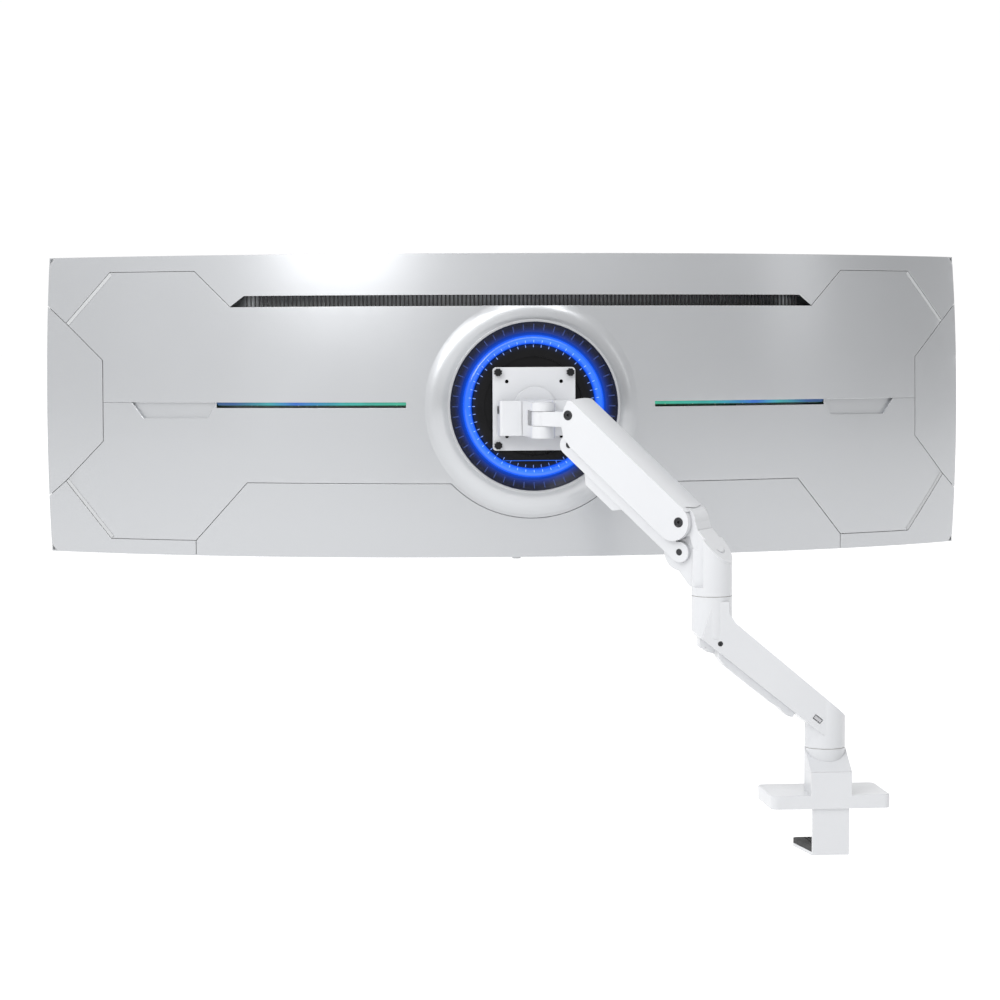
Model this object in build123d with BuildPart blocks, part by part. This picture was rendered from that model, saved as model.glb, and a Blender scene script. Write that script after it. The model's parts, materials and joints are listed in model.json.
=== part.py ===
"""Ultra-wide curved computer monitor on a desk-clamp arm.

Millimetres.  +Z is up, +Y points to the person at the screen, +X is to the right seen from behind.
The origin is where the base swivel's axis meets the desk top.
"""
import os
from math import atan2, cos, degrees, hypot, radians, sin, sqrt, tan

from build123d import *

os.makedirs("parts", exist_ok=True)

# ---------------------------------------------------------------- fits
RUN = 0.05                    # radial clearance of a shaft that turns in its bore
GAP = 0.4                     # clearance between parts that move past each other
SEAM = 0.8                    # visible joint between two case panels

# ---------------------------------------------------------------- arm: main places
LOWER_HEADING = 182.5         # plan direction of the lower arm
LOWER_LENGTH = 153.85         # base axis to elbow axis
UPPER_HEADING = 142.3         # plan direction of the upper arm
ELBOW_OFFSET = 34.6           # elbow axis to the upper arm's lower pivot
UPPER_RUN = 167.0             # horizontal distance between the upper arm's pivots
UPPER_RISE = 135.5            # height between the upper arm's pivots
HEAD_OFFSET = 55.5            # upper pivot to the pan axis
PIVOT_HEIGHT = 377.8          # height of the upper arm's lower pivot
LINK_BACK = 3.8               # link pins lie this far beyond the pivots
LINK_DROP = 40.0              # and this far below them

# ---------------------------------------------------------------- base and clamp
BASE_SEAM = 77.3              # height of the joint under the lower arm
COLLAR_R = 26.75              # outer radius of collars and elbow
PLATE_X = 159.0
PLATE_BACK = 59.0             # plate's edge over the desk
PLATE_FRONT = -45.0           # front face of plate and block
PLATE_TOP = 19.4
PLATE_CORNER = 9.0
PAD_T = 1.5                   # desk pad under the plate
PAD_INSET = 3.0
BLOCK_X = 54.8
BLOCK_TOP = 50.0              # height of the block's front edge
BLOCK_SLOPE = 31.0            # slope of the cover behind that edge, degrees
COVER_BACK = -6.0             # back edge of the sloped cover
STRAP_X = 49.0
STRAP_T = 4.5
STRAP_FRONT = -42.6
JAW_BOTTOM = -61.0
JAW_REACH = 84.0
JAW_FLARE = 11.0              # each side of the plate spreads by this towards its tip
JAW_PAD_T = 6.5
JAW_TRAVEL = 36.0
JAW_RIB = 2.6                 # width of one rib of the pad
LUG_LOW = 1.0                 # strap's upper lug, lowest place
LUG_REACH = 8.0               # lug beyond the screw
CLAMP_SCREW_R = 4.0
CLAMP_SCREW_Y = -27.0
SCREW_HEAD_R = 6.5
SCREW_HEAD_T = 5.0

# ---------------------------------------------------------------- swivel joints
POST_R = 15.0
POST_BORE_R = 5.0
POST_SUNK = 18.0              # length pressed into the lower piece
POST_RISE = 26.0              # length inside the upper piece
BUSH_T = 2.5
WASHER_T = 0.9                # thrust washer that shows as a fine line

# ---------------------------------------------------------------- lower arm
LOWER_HALF = 26.2             # half width between the flat sides
ELBOW_SEAM = 281.0
ARM_TOP_LOW, ARM_TOP_HIGH = (-COLLAR_R, 118.4), (127.0, 246.5)
ARM_FOOT_LOW, ARM_FOOT_HIGH = (9.5, 97.3), (172.0, 226.6)
CUP_FLAT = 136.0              # flat side carries on up the cup from here
COLLAR_FLAT = -5.0            # and ends on the foot collar here
COVER_HALF = 15.0             # cable cover under the arm
KEY_SLOT = (13.0, 7.0, 5.0)   # recess for the hex key: length, height, depth

# ---------------------------------------------------------------- elbow
CAP_LOW = 327.0               # slanted cap, lowest and highest edge
CAP_HIGH = 368.0
CAP_REACH = 10.0
CAP_T = 3.0
NOTCH_R = 11.0                # thumb notch in the cap
NECK_HALF = 19.5
BOSS_R = 20.0
LOBE_HALF = 13.6
LOBE_R = 25.5
FLAT_HALF = 20.2
FLAT_FROM = 293.0
PIVOT_R = 6.0                 # pins of the two main pivots
LINK_PIN_R = 4.5
SPRING_DROP = 21.0            # gas spring pin below the main pivot
SPRING_PIN_R = 4.0
SPRING_SLOT = 8.5             # half width of the room for the spring's eye
SPRING_PLAY = 3.6             # clearance of the eye round its pin
SPRING_EYE_T = 2.0
LIFT_UP = 6.0                 # the upper arm rises this many degrees from where it is drawn

# ---------------------------------------------------------------- upper arm
ARM_HALF = 29.0
ARM_INNER = 20.5
ARM_ABOVE = 17.8              # side face above and below the pivot line
ARM_BELOW = 31.0
ARM_CROWN = 2.6
ARM_NOSE = 11.5               # front face beyond the upper pivot
ARM_ROOF = 4.0
LINK_HALF = 19.9
LINK_INNER = 14.1
LINK_R = 13.6
LINK_TOP = 8.0
LINK_WEB_FROM = 29.0
LINK_WEB_T = 2.5
GAS_R = 9.5
ROD_R = 4.0

# ---------------------------------------------------------------- head
TONGUE_LOW, TONGUE_TOP = 496.6, 516.2
TONGUE_R = 15.0
PAN_R = 16.5
PAN_PIN_R = 8.0
FORK_LOW, FORK_TOP = 480.0, 527.6
KNUCKLE_HALF = 21.0
HEAD_HALF = 51.0
EAR_T = 7.0
TILT_BOLT_R = 4.0
TILT_UP, TILT_DOWN = 20.0, 10.0     # how far the plate leans each way
FORK_LIP = 6.8                # metal of the fork beyond the tilt bolt
ROLL_R = 26.0
ROLL_T = 4.0
ROLL_PIN_R = 6.0
BRACKET_T = 3.0
VESA = 100.0                  # hole patterns of the mounting plate
VESA_SMALL = 75.0
VESA_HOLE_R = 2.6
VESA_PLATE = 114.0
VESA_PLATE_T = 3.0
KNOB_R = 5.4

# ---------------------------------------------------------------- display
SCREEN_Z = 516.5              # height of the middle of the screen
SCREEN_R = 1000.0             # radius of the curved screen
SCREEN_ANGLE = 40.6           # half of the arc that the screen covers
HALF_HEIGHT = 209.1
CENTRE_DEPTH = 52.0           # depth of the case at its middle
REAR_R = 932.7                # radius of the rear face in plan
REAR_CROWN_R = 2730.0         # radius of the rear face in height
FRAME_DEPTH = 12.0            # front frame
RIM = 1.6                     # frame's rim round the glass
WALL = 2.5
DISPLAY_TILT = 2.0
FACE_BACK = 161.0             # pan axis behind the middle of the screen
TILT_BACK = 84.0              # tilt axis behind the middle of the screen
TILT_Z = -5.5
PLATE_Z = -4.5                # centre of the mounting plate
HUB_Z = -1.0                  # centre of the light ring
HUB_FACE = 66.0               # mounting face behind the middle of the screen
HUB_FOOT_R = 133.0            # swelling under the ring, before its flare
HUB_SKIRT = 51.0              # height of the swelling, down to inside the case
HUB_FLARE = 34.0              # radius of the flare into the rear face
HUB_R = 116.0
HUB_RIM = 71.0                # rim of the hub behind the middle of the screen
CONE_IN_R = 98.2
TUBE_R = 91.6                 # glowing ring: middle radius and half width
TUBE_HALF = 6.0
DISC_R = 85.0
DISC_STEP_R = 68.0
DISC_CHORD = 75.0
POST_HOLE_R = 2.05            # threaded holes for the mounting screws
STUD_R = 2.0


# ================================================================ derived places
def direction(angle):
    return Vector(cos(radians(angle)), sin(radians(angle)), 0)


ELBOW = direction(LOWER_HEADING) * LOWER_LENGTH
ALONG = direction(UPPER_HEADING)
PIVOT = ELBOW + ALONG * ELBOW_OFFSET + Vector(0, 0, PIVOT_HEIGHT)
HEAD_PIVOT = PIVOT + ALONG * UPPER_RUN + Vector(0, 0, UPPER_RISE)
PAN = HEAD_PIVOT + ALONG * HEAD_OFFSET
ARM_SLOPE = degrees(atan2(UPPER_RISE, UPPER_RUN))
ARM_LENGTH = hypot(UPPER_RISE, UPPER_RUN)
MONITOR = Location((PAN.X, PAN.Y + FACE_BACK, SCREEN_Z), (-DISPLAY_TILT, 0, 0))
REAR_CENTRE = REAR_R - CENTRE_DEPTH
SLOPE_RISE = (COLLAR_R - PLATE_FRONT) * tan(radians(BLOCK_SLOPE))
JAW_TOP = JAW_BOTTOM + STRAP_T
LUG_EDGE = CLAMP_SCREW_Y + LUG_REACH
LINK_DX = LINK_BACK * cos(radians(ARM_SLOPE)) - LINK_DROP * sin(radians(ARM_SLOPE))
LINK_DZ = -LINK_BACK * sin(radians(ARM_SLOPE)) - LINK_DROP * cos(radians(ARM_SLOPE))
SPRING_DX = -SPRING_DROP * sin(radians(ARM_SLOPE))
SPRING_DZ = -SPRING_DROP * (1 + cos(radians(ARM_SLOPE + LIFT_UP))) / 2
PIVOT_S = ELBOW_OFFSET
HEAD_S = ELBOW_OFFSET + UPPER_RUN
HEAD_Z = PIVOT_HEIGHT + UPPER_RISE


def upright(angle, origin=(0, 0, 0), slope=0.0):
    """Vertical plane along an arm: x runs along the arm, y upwards."""
    c, s = cos(radians(angle)), sin(radians(angle))
    level = cos(radians(slope))
    return Plane(origin=origin, x_dir=(c * level, s * level, sin(radians(slope))), z_dir=(s, -c, 0))


LOWER_SIDE = upright(LOWER_HEADING)
UPPER_SIDE = upright(UPPER_HEADING, (ELBOW.X, ELBOW.Y, 0))
ARM_SIDE = upright(UPPER_HEADING, PIVOT, ARM_SLOPE)


def in_display(plane):
    """The same plane, carried from the display's own axes to its place on the arm."""
    return Plane(MONITOR * plane.location)


def behind(depth):
    """Plane parallel to the middle of the screen, a distance behind it."""
    return in_display(Plane.XZ.offset(depth))


def level(height):
    """Plane across the display's height."""
    return in_display(Plane.XY.offset(height))


def save(piece, name):
    piece.part.label = name
    export_step(piece.part, f"parts/{name}.step")


def prism(plane, points, half):
    """Flat-sided solid with a polygon outline, centred on a plane."""
    with BuildPart() as made:
        with BuildSketch(plane):
            with BuildLine():
                Polyline(*points, close=True)
            make_face()
        extrude(amount=half, both=True)
    return made.part


def round_bar(plane, centre, radius, low, high):
    """Round solid across a plane, from one distance to another."""
    with BuildPart() as made:
        with BuildSketch(plane.offset(low)):
            with Locations(centre):
                Circle(radius)
        extrude(amount=high - low)
    return made.part


# ================================================================ base and clamp
def block_outline():
    """Plan of the block: flat front, round back."""
    Circle(COLLAR_R)
    with Locations((0, PLATE_FRONT / 2)):
        Rectangle(BLOCK_X, -PLATE_FRONT)


SLOPE_CUT = prism(
    Plane.YZ,
    (
        (PLATE_FRONT - 1, BLOCK_TOP - tan(radians(BLOCK_SLOPE))),
        (COLLAR_R + 1, BLOCK_TOP + SLOPE_RISE + tan(radians(BLOCK_SLOPE))),
        (COLLAR_R + 1, BLOCK_TOP + 2 * SLOPE_RISE),
        (PLATE_FRONT - 1, BLOCK_TOP + 2 * SLOPE_RISE),
    ),
    BLOCK_X,
)

with BuildPart() as base_casting:
    with BuildSketch(Plane.XY.offset(PAD_T)):
        with Locations((0, (PLATE_BACK + PLATE_FRONT) / 2)):
            RectangleRounded(PLATE_X, PLATE_BACK - PLATE_FRONT, PLATE_CORNER)
    extrude(amount=PLATE_TOP - PAD_T)
    fillet(base_casting.faces().sort_by(Axis.Z)[-1].edges(), 1.6)
    with BuildSketch(Plane.XY.offset(PAD_T)):
        block_outline()
    extrude(amount=BASE_SEAM - PAD_T)
    add(SLOPE_CUT, mode=Mode.SUBTRACT)
    with BuildSketch(Plane.XY.offset(BLOCK_TOP)):
        with Locations((0, (PLATE_FRONT + COVER_BACK) / 2)):
            Rectangle(BLOCK_X + 2, COVER_BACK - PLATE_FRONT)
    extrude(amount=SLOPE_RISE, mode=Mode.SUBTRACT)
    with BuildSketch(Plane.XY.offset(PAD_T)):
        Circle(COLLAR_R)
    extrude(amount=BASE_SEAM - PAD_T)
    # slot for the strap, room for its lug, and the seat of the screw that draws it up
    with BuildSketch(Plane.XY):
        with Locations((0, (STRAP_FRONT + LUG_EDGE) / 2)):
            Rectangle(STRAP_X + 2 * GAP, LUG_EDGE - STRAP_FRONT + 2 * GAP)
    extrude(amount=LUG_LOW + STRAP_T + JAW_TRAVEL + GAP, mode=Mode.SUBTRACT)
    with BuildSketch(Plane.XY):
        with Locations((0, CLAMP_SCREW_Y)):
            Circle(CLAMP_SCREW_R + RUN)
    extrude(amount=BLOCK_TOP, mode=Mode.SUBTRACT)
    with BuildSketch(Plane.XY.offset(BLOCK_TOP - SCREW_HEAD_T)):
        with Locations((0, CLAMP_SCREW_Y)):
            Circle(SCREW_HEAD_R + GAP)
    extrude(amount=SCREW_HEAD_T + GAP, mode=Mode.SUBTRACT)
    with BuildSketch(Plane.XY.offset(BASE_SEAM)):
        Circle(POST_R)
    extrude(amount=-POST_SUNK, mode=Mode.SUBTRACT)
save(base_casting, "base_casting")

with BuildPart() as screw_cover:
    with BuildSketch(Plane.XY.offset(BLOCK_TOP + SEAM / 8)):
        with Locations((0, (PLATE_FRONT + COVER_BACK) / 2)):
            Rectangle(BLOCK_X, COVER_BACK - PLATE_FRONT - SEAM / 8)
        Circle(COLLAR_R + SEAM / 8, mode=Mode.SUBTRACT)
    extrude(amount=SLOPE_RISE)
    add(SLOPE_CUT, mode=Mode.SUBTRACT)
    with BuildSketch(Plane.XY.offset(BLOCK_TOP)):
        with Locations((0, CLAMP_SCREW_Y)):
            Circle(SCREW_HEAD_R + GAP)
    extrude(amount=1, mode=Mode.SUBTRACT)
save(screw_cover, "screw_cover")

with BuildPart() as desk_pad:
    with BuildSketch(Plane.XY):
        with Locations((0, (PLATE_BACK - PAD_INSET + LUG_EDGE + PAD_INSET) / 2)):
            Rectangle(PLATE_X - 2 * PAD_INSET, PLATE_BACK - LUG_EDGE - 2 * PAD_INSET)
    extrude(amount=PAD_T)
save(desk_pad, "desk_pad")


def jaw_outline(near, margin):
    """Plate of the jaw seen from above, from a line across it to its spread tip."""
    far = STRAP_FRONT + JAW_REACH - margin
    half, spread = STRAP_X / 2 - margin, STRAP_X / 2 + JAW_FLARE - margin
    with BuildSketch() as outline:
        with BuildLine():
            Polyline((-half, near), (half, near), (spread, far), (-spread, far), close=True)
        make_face()
        fillet(outline.vertices().group_by(Axis.Y)[-1], 6.0)
    return outline.sketch


with BuildPart() as clamp_jaw:
    with BuildSketch(Plane.YZ):
        with BuildLine():
            Polyline(
                (STRAP_FRONT, JAW_BOTTOM),
                (STRAP_FRONT + 3 * STRAP_T, JAW_BOTTOM),
                (STRAP_FRONT + 3 * STRAP_T, JAW_TOP),
                (STRAP_FRONT + STRAP_T, JAW_TOP),
                (STRAP_FRONT + STRAP_T, LUG_LOW),
                (LUG_EDGE, LUG_LOW),
                (LUG_EDGE, LUG_LOW + STRAP_T),
                (STRAP_FRONT, LUG_LOW + STRAP_T),
                close=True,
            )
        make_face()
    extrude(amount=STRAP_X / 2, both=True)
    fillet(clamp_jaw.edges().filter_by(Axis.X).group_by(Axis.Z)[0].sort_by(Axis.Y)[0], 3.0)
    with BuildSketch(Plane.XY.offset(JAW_BOTTOM)):
        add(jaw_outline(STRAP_FRONT + STRAP_T, 0))
    extrude(amount=STRAP_T)
    with BuildSketch(Plane.XY.offset(LUG_LOW)):
        with Locations((0, CLAMP_SCREW_Y)):
            Circle(CLAMP_SCREW_R + RUN)
    extrude(amount=STRAP_T, mode=Mode.SUBTRACT)
save(clamp_jaw, "clamp_jaw")

JAW_PAD_LENGTH = JAW_REACH - STRAP_T - 1
JAW_PAD_Y = STRAP_FRONT + STRAP_T + 0.5 + JAW_PAD_LENGTH / 2
with BuildPart() as jaw_pad:
    with BuildSketch(Plane.XY.offset(JAW_TOP)):
        add(jaw_outline(STRAP_FRONT + STRAP_T + 0.5, 0.3))
    extrude(amount=JAW_PAD_T)
    with BuildSketch(Plane.XY.offset(JAW_TOP + JAW_PAD_T)):
        with Locations((0, JAW_PAD_Y)):
            with GridLocations(2 * JAW_RIB, 1, int((STRAP_X - 6) / (2 * JAW_RIB)), 1):
                Rectangle(JAW_RIB, JAW_PAD_LENGTH - 5)
    extrude(amount=-1.0, mode=Mode.SUBTRACT)
save(jaw_pad, "jaw_pad")

with BuildPart() as clamp_screw:
    with BuildSketch(Plane.XY.offset(LUG_LOW + 0.5)):
        with Locations((0, CLAMP_SCREW_Y)):
            Circle(CLAMP_SCREW_R)
    extrude(amount=BLOCK_TOP - SCREW_HEAD_T - LUG_LOW)
    with BuildSketch(Plane.XY.offset(BLOCK_TOP - SCREW_HEAD_T + RUN)):
        with Locations((0, CLAMP_SCREW_Y)):
            Circle(SCREW_HEAD_R)
            RegularPolygon(3.4, 6, mode=Mode.SUBTRACT)
    extrude(amount=SCREW_HEAD_T)
    with BuildSketch(Plane.XY.offset(BLOCK_TOP - SCREW_HEAD_T + RUN)):
        with Locations((0, CLAMP_SCREW_Y)):
            Circle(CLAMP_SCREW_R)
    extrude(amount=1.5)
save(clamp_screw, "clamp_screw")


# ================================================================ swivel joints
def swivel_post(foot):
    """Steel post pressed into the piece below; the piece above turns on it."""
    with BuildPart() as post:
        with BuildSketch(Plane.XY.offset(foot.Z - POST_SUNK)):
            with Locations((foot.X, foot.Y)):
                Circle(POST_R)
                Circle(POST_BORE_R, mode=Mode.SUBTRACT)
        extrude(amount=POST_SUNK + POST_RISE)
        chamfer(post.edges().group_by(Axis.Z)[-1], 0.8)
    return post


def swivel_bush(foot):
    """Plastic sleeve with a thrust washer, fixed in the piece that turns."""
    with BuildPart() as bush:
        with BuildSketch(Plane.XY.offset(foot.Z + RUN)):
            with Locations((foot.X, foot.Y)):
                Circle(COLLAR_R - 1.2)
                Circle(POST_R + RUN, mode=Mode.SUBTRACT)
        extrude(amount=WASHER_T - RUN)
        with BuildSketch(Plane.XY.offset(foot.Z + WASHER_T)):
            with Locations((foot.X, foot.Y)):
                Circle(POST_R + BUSH_T)
                Circle(POST_R + RUN, mode=Mode.SUBTRACT)
        extrude(amount=POST_RISE + 1)
    return bush


def bush_room(foot):
    """Space that post and bush take in the piece that turns."""
    with BuildPart() as room:
        with BuildSketch(Plane.XY.offset(foot.Z)):
            with Locations((foot.X, foot.Y)):
                Circle(POST_R + BUSH_T)
        extrude(amount=WASHER_T + POST_RISE + 2)
    return room.part


BASE_FOOT = Vector(0, 0, BASE_SEAM)
ELBOW_FOOT = Vector(ELBOW.X, ELBOW.Y, ELBOW_SEAM)
base_post = swivel_post(BASE_FOOT)
save(base_post, "base_post")
base_bush = swivel_bush(BASE_FOOT)
save(base_bush, "base_bush")
elbow_post = swivel_post(ELBOW_FOOT)
save(elbow_post, "elbow_post")
elbow_bush = swivel_bush(ELBOW_FOOT)
save(elbow_bush, "elbow_bush")

# ================================================================ lower arm
KEY_LENGTH, KEY_HEIGHT, KEY_DEPTH = KEY_SLOT
FOOT_SLOPE = (ARM_FOOT_HIGH[1] - ARM_FOOT_LOW[1]) / (ARM_FOOT_HIGH[0] - ARM_FOOT_LOW[0])
TOP_SLOPE = (ARM_TOP_HIGH[1] - ARM_TOP_LOW[1]) / (ARM_TOP_HIGH[0] - ARM_TOP_LOW[0])
FOOT_FACE = Plane(
    origin=LOWER_SIDE.from_local_coords(Vector(ARM_FOOT_LOW[0], ARM_FOOT_LOW[1], 0)),
    x_dir=LOWER_SIDE.from_local_coords(Vector(1, FOOT_SLOPE, 0)) - LOWER_SIDE.origin,
    z_dir=LOWER_SIDE.z_dir,
)

with BuildPart() as lower_arm:
    with BuildSketch(LOWER_SIDE):
        with BuildLine():
            Polyline(
                (COLLAR_FLAT, ARM_TOP_LOW[1] + TOP_SLOPE * (COLLAR_FLAT - ARM_TOP_LOW[0])),
                ARM_TOP_HIGH,
                (CUP_FLAT, ARM_TOP_HIGH[1] + 14),
                (CUP_FLAT, ELBOW_SEAM - 6),
                (LOWER_LENGTH + 4, ELBOW_SEAM - 6),
                ARM_FOOT_HIGH,
                ARM_FOOT_LOW,
                (COLLAR_FLAT, ARM_FOOT_LOW[1] - 4),
                close=True,
            )
        make_face()
    extrude(amount=LOWER_HALF, both=True)
    with BuildSketch(Plane.XY.offset(BASE_SEAM + WASHER_T)):
        Circle(COLLAR_R)
    extrude(amount=ARM_TOP_LOW[1] + TOP_SLOPE * 2 * COLLAR_R - BASE_SEAM)
    with BuildSketch(Plane.XY.offset(ARM_FOOT_HIGH[1])):
        with Locations((ELBOW.X, ELBOW.Y)):
            Circle(COLLAR_R)
    extrude(amount=ELBOW_SEAM - ARM_FOOT_HIGH[1])
    # the sloping top of the foot collar
    with BuildSketch(LOWER_SIDE):
        with BuildLine():
            Polyline(
                (ARM_TOP_LOW[0] - 2, ARM_TOP_LOW[1] - 2 * TOP_SLOPE),
                (COLLAR_R + 2, ARM_TOP_LOW[1] + (2 * COLLAR_R + 2) * TOP_SLOPE),
                (ARM_TOP_LOW[0] - 2, ELBOW_SEAM),
                close=True,
            )
        make_face()
    extrude(amount=COLLAR_R + 1, both=True, mode=Mode.SUBTRACT)
    # the cup's bottom rises towards its free side
    with BuildSketch(LOWER_SIDE):
        with BuildLine():
            Polyline(
                (ARM_FOOT_HIGH[0], ARM_FOOT_HIGH[1]),
                (LOWER_LENGTH + COLLAR_R + 2, ARM_FOOT_HIGH[1] + 12.5),
                (LOWER_LENGTH + COLLAR_R + 2, ARM_FOOT_HIGH[1] - 40),
                (ARM_FOOT_HIGH[0] - 30, ARM_FOOT_HIGH[1] - 30 * FOOT_SLOPE),
                close=True,
            )
        make_face()
    extrude(amount=COLLAR_R + 1, both=True, mode=Mode.SUBTRACT)
    # cable channel along the underside
    with BuildSketch(FOOT_FACE):
        with Locations((112, 8)):
            Rectangle(140, 20)
    extrude(amount=COVER_HALF + 0.2, both=True, mode=Mode.SUBTRACT)
    # recess that holds the hex key, on the near side
    with BuildSketch(FOOT_FACE.offset(-LOWER_HALF)):
        with Locations((18, 12)):
            Rectangle(KEY_LENGTH, KEY_HEIGHT)
    extrude(amount=KEY_DEPTH, mode=Mode.SUBTRACT)
    with BuildSketch(LOWER_SIDE.offset(-LOWER_HALF)):
        with Locations((147.7, 220)):
            Circle(3.5)
    extrude(amount=3, mode=Mode.SUBTRACT)
    add(bush_room(BASE_FOOT), mode=Mode.SUBTRACT)
    with BuildSketch(Plane.XY.offset(ELBOW_SEAM)):
        with Locations((ELBOW.X, ELBOW.Y)):
            Circle(POST_R)
    extrude(amount=-POST_SUNK, mode=Mode.SUBTRACT)
save(lower_arm, "lower_arm")

with BuildPart() as lower_cable_cover:
    with BuildSketch(FOOT_FACE):
        with BuildLine():
            Polyline(
                (44, 1.5),
                (44, -6.5),
                (52, -9.5),
                (66, -7.5),
                (76, -9.0),
                (160, -9.0),
                (171, -5.5),
                (178, 1.5),
                close=True,
            )
        make_face()
    extrude(amount=COVER_HALF, both=True)
save(lower_cable_cover, "lower_cable_cover")

CLIP_HALF = 8.0


def foot_height(run):
    """Height of the lower arm's bottom edge at a distance from the base axis."""
    return ARM_FOOT_LOW[1] + FOOT_SLOPE * (run - ARM_FOOT_LOW[0])


with BuildPart() as lower_cable_hook:
    with BuildSketch(LOWER_SIDE):
        with BuildLine():
            Polyline(
                (171.5, foot_height(171.5)),
                (171.5, 213.5),
                (166.5, 211.0),
                (163.0, 214.5),
                (163.0, 208.0),
                (151.0, 204.5),
                (151.0, foot_height(151.0)),
                close=True,
            )
        make_face()
    extrude(amount=CLIP_HALF, both=True)
save(lower_cable_hook, "lower_cable_hook")

KEY_R = 2.0
with BuildPart() as hex_key:
    with BuildSketch(FOOT_FACE.offset(-LOWER_HALF + 0.6)):
        with Locations((18, 12)):
            Rectangle(KEY_LENGTH - 2, 2 * KEY_R)
    extrude(amount=2 * KEY_R)
save(hex_key, "hex_key")

with BuildPart() as lower_arm_screws:
    with BuildSketch(LOWER_SIDE.offset(-LOWER_HALF + 0.4)):
        with Locations((147.7, 220)):
            Circle(3.4)
            RegularPolygon(1.8, 6, mode=Mode.SUBTRACT)
    extrude(amount=2.0)
    with BuildSketch(LOWER_SIDE.offset(-LOWER_HALF + 2.4)):
        with Locations((147.7, 220)):
            Circle(3.4)
    extrude(amount=0.6)
save(lower_arm_screws, "lower_arm_screws")

# ================================================================ elbow
CAP_SLOPE = (CAP_HIGH - CAP_LOW) / (COLLAR_R + CAP_REACH)
CAP_ALONG = (UPPER_SIDE.from_local_coords(Vector(1, CAP_SLOPE, 0)) - UPPER_SIDE.origin).normalized()
CAP_FACE = Plane(
    origin=UPPER_SIDE.from_local_coords(Vector(-COLLAR_R, CAP_LOW, 0)),
    x_dir=CAP_ALONG,
    z_dir=UPPER_SIDE.z_dir.cross(CAP_ALONG),
)
SLOT_WALL = 1.8               # metal left round the main pivot's bore
SLOT_FLOOR = PIVOT_HEIGHT - LINK_DROP + LINK_PIN_R + SLOT_WALL
with BuildPart() as elbow_housing:
    with BuildSketch(Plane.XY.offset(ELBOW_SEAM + WASHER_T)):
        with Locations((ELBOW.X, ELBOW.Y)):
            Circle(COLLAR_R)
    extrude(amount=CAP_HIGH - ELBOW_SEAM)
    # everything above the slanted cap goes
    with BuildSketch(UPPER_SIDE):
        with BuildLine():
            Polyline(
                (-COLLAR_R - 2, CAP_LOW - CAP_T - 2 * CAP_SLOPE),
                (CAP_REACH, CAP_HIGH - CAP_T),
                (CAP_REACH, CAP_HIGH + 30),
                (-COLLAR_R - 2, CAP_HIGH + 30),
                close=True,
            )
        make_face()
    extrude(amount=COLLAR_R + 1, both=True, mode=Mode.SUBTRACT)
    with BuildSketch(UPPER_SIDE):
        with BuildLine():
            Polyline(
                (CAP_REACH, FLAT_FROM + 50),
                (CAP_REACH, CAP_HIGH + 30),
                (CAP_REACH + 40, CAP_HIGH + 30),
                (CAP_REACH + 40, FLAT_FROM + 50),
                close=True,
            )
        make_face()
    extrude(amount=COLLAR_R + 1, both=True, mode=Mode.SUBTRACT)
    # neck up to the main pivot, narrow enough to pass between the arm's cheeks
    with BuildSketch(UPPER_SIDE):
        with BuildLine():
            Polyline(
                (0, FLAT_FROM + 20),
                (0, CAP_HIGH - CAP_T - CAP_SLOPE * CAP_REACH),
                (CAP_REACH, CAP_HIGH - CAP_T),
                (PIVOT_S - BOSS_R * 0.82, PIVOT_HEIGHT + BOSS_R * 0.57),
                (PIVOT_S, PIVOT_HEIGHT),
                (PIVOT_S - BOSS_R * 0.55, PIVOT_HEIGHT - BOSS_R * 0.83),
                (COLLAR_R - 9, PIVOT_HEIGHT - LINK_DROP + 6),
                (COLLAR_R - 9, FLAT_FROM + 20),
                close=True,
            )
        make_face()
        with Locations((PIVOT_S, PIVOT_HEIGHT)):
            Circle(BOSS_R)
    extrude(amount=NECK_HALF, both=True)
    # lobe that carries the link pin
    with BuildSketch(UPPER_SIDE):
        with BuildLine():
            Polyline(
                (0, FLAT_FROM),
                (0, PIVOT_HEIGHT - 30),
                (PIVOT_S - 8, PIVOT_HEIGHT - 10),
                (PIVOT_S + LINK_BACK + 12, PIVOT_HEIGHT - LINK_DROP + 21),
                (PIVOT_S + LINK_BACK + 10, PIVOT_HEIGHT - LINK_DROP - 18),
                (COLLAR_R - 1, FLAT_FROM),
                close=True,
            )
        make_face()
        with Locations((PIVOT_S + LINK_BACK, PIVOT_HEIGHT - LINK_DROP)):
            Circle(LOBE_R)
    extrude(amount=LOBE_HALF, both=True)
    # flats on both sides, where the arm's cheeks swing past
    for side in (-1, 1):
        with BuildSketch(UPPER_SIDE.offset(side * FLAT_HALF)):
            with BuildLine():
                Polyline(
                    (-1, FLAT_FROM),
                    (COLLAR_R + 1, FLAT_FROM),
                    (COLLAR_R + 1, CAP_HIGH + 20),
                    (-1, CAP_HIGH + 20),
                    close=True,
                )
            make_face()
        extrude(amount=side * COLLAR_R, mode=Mode.SUBTRACT)
    # room for the end of the gas spring
    with BuildSketch(UPPER_SIDE):
        with BuildLine():
            Polyline(
                (PIVOT_S - 14, SLOT_FLOOR),
                (PIVOT_S - 14, PIVOT_HEIGHT - PIVOT_R - SLOT_WALL),
                (PIVOT_S + PIVOT_R, PIVOT_HEIGHT - PIVOT_R - SLOT_WALL),
                (PIVOT_S + PIVOT_R + SLOT_WALL, PIVOT_HEIGHT - PIVOT_R),
                (PIVOT_S + PIVOT_R + SLOT_WALL, PIVOT_HEIGHT + BOSS_R + 2),
                (PIVOT_S + 60, PIVOT_HEIGHT + BOSS_R + 2),
                (PIVOT_S + 60, SLOT_FLOOR),
                close=True,
            )
        make_face()
    extrude(amount=SPRING_SLOT, both=True, mode=Mode.SUBTRACT)
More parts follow.
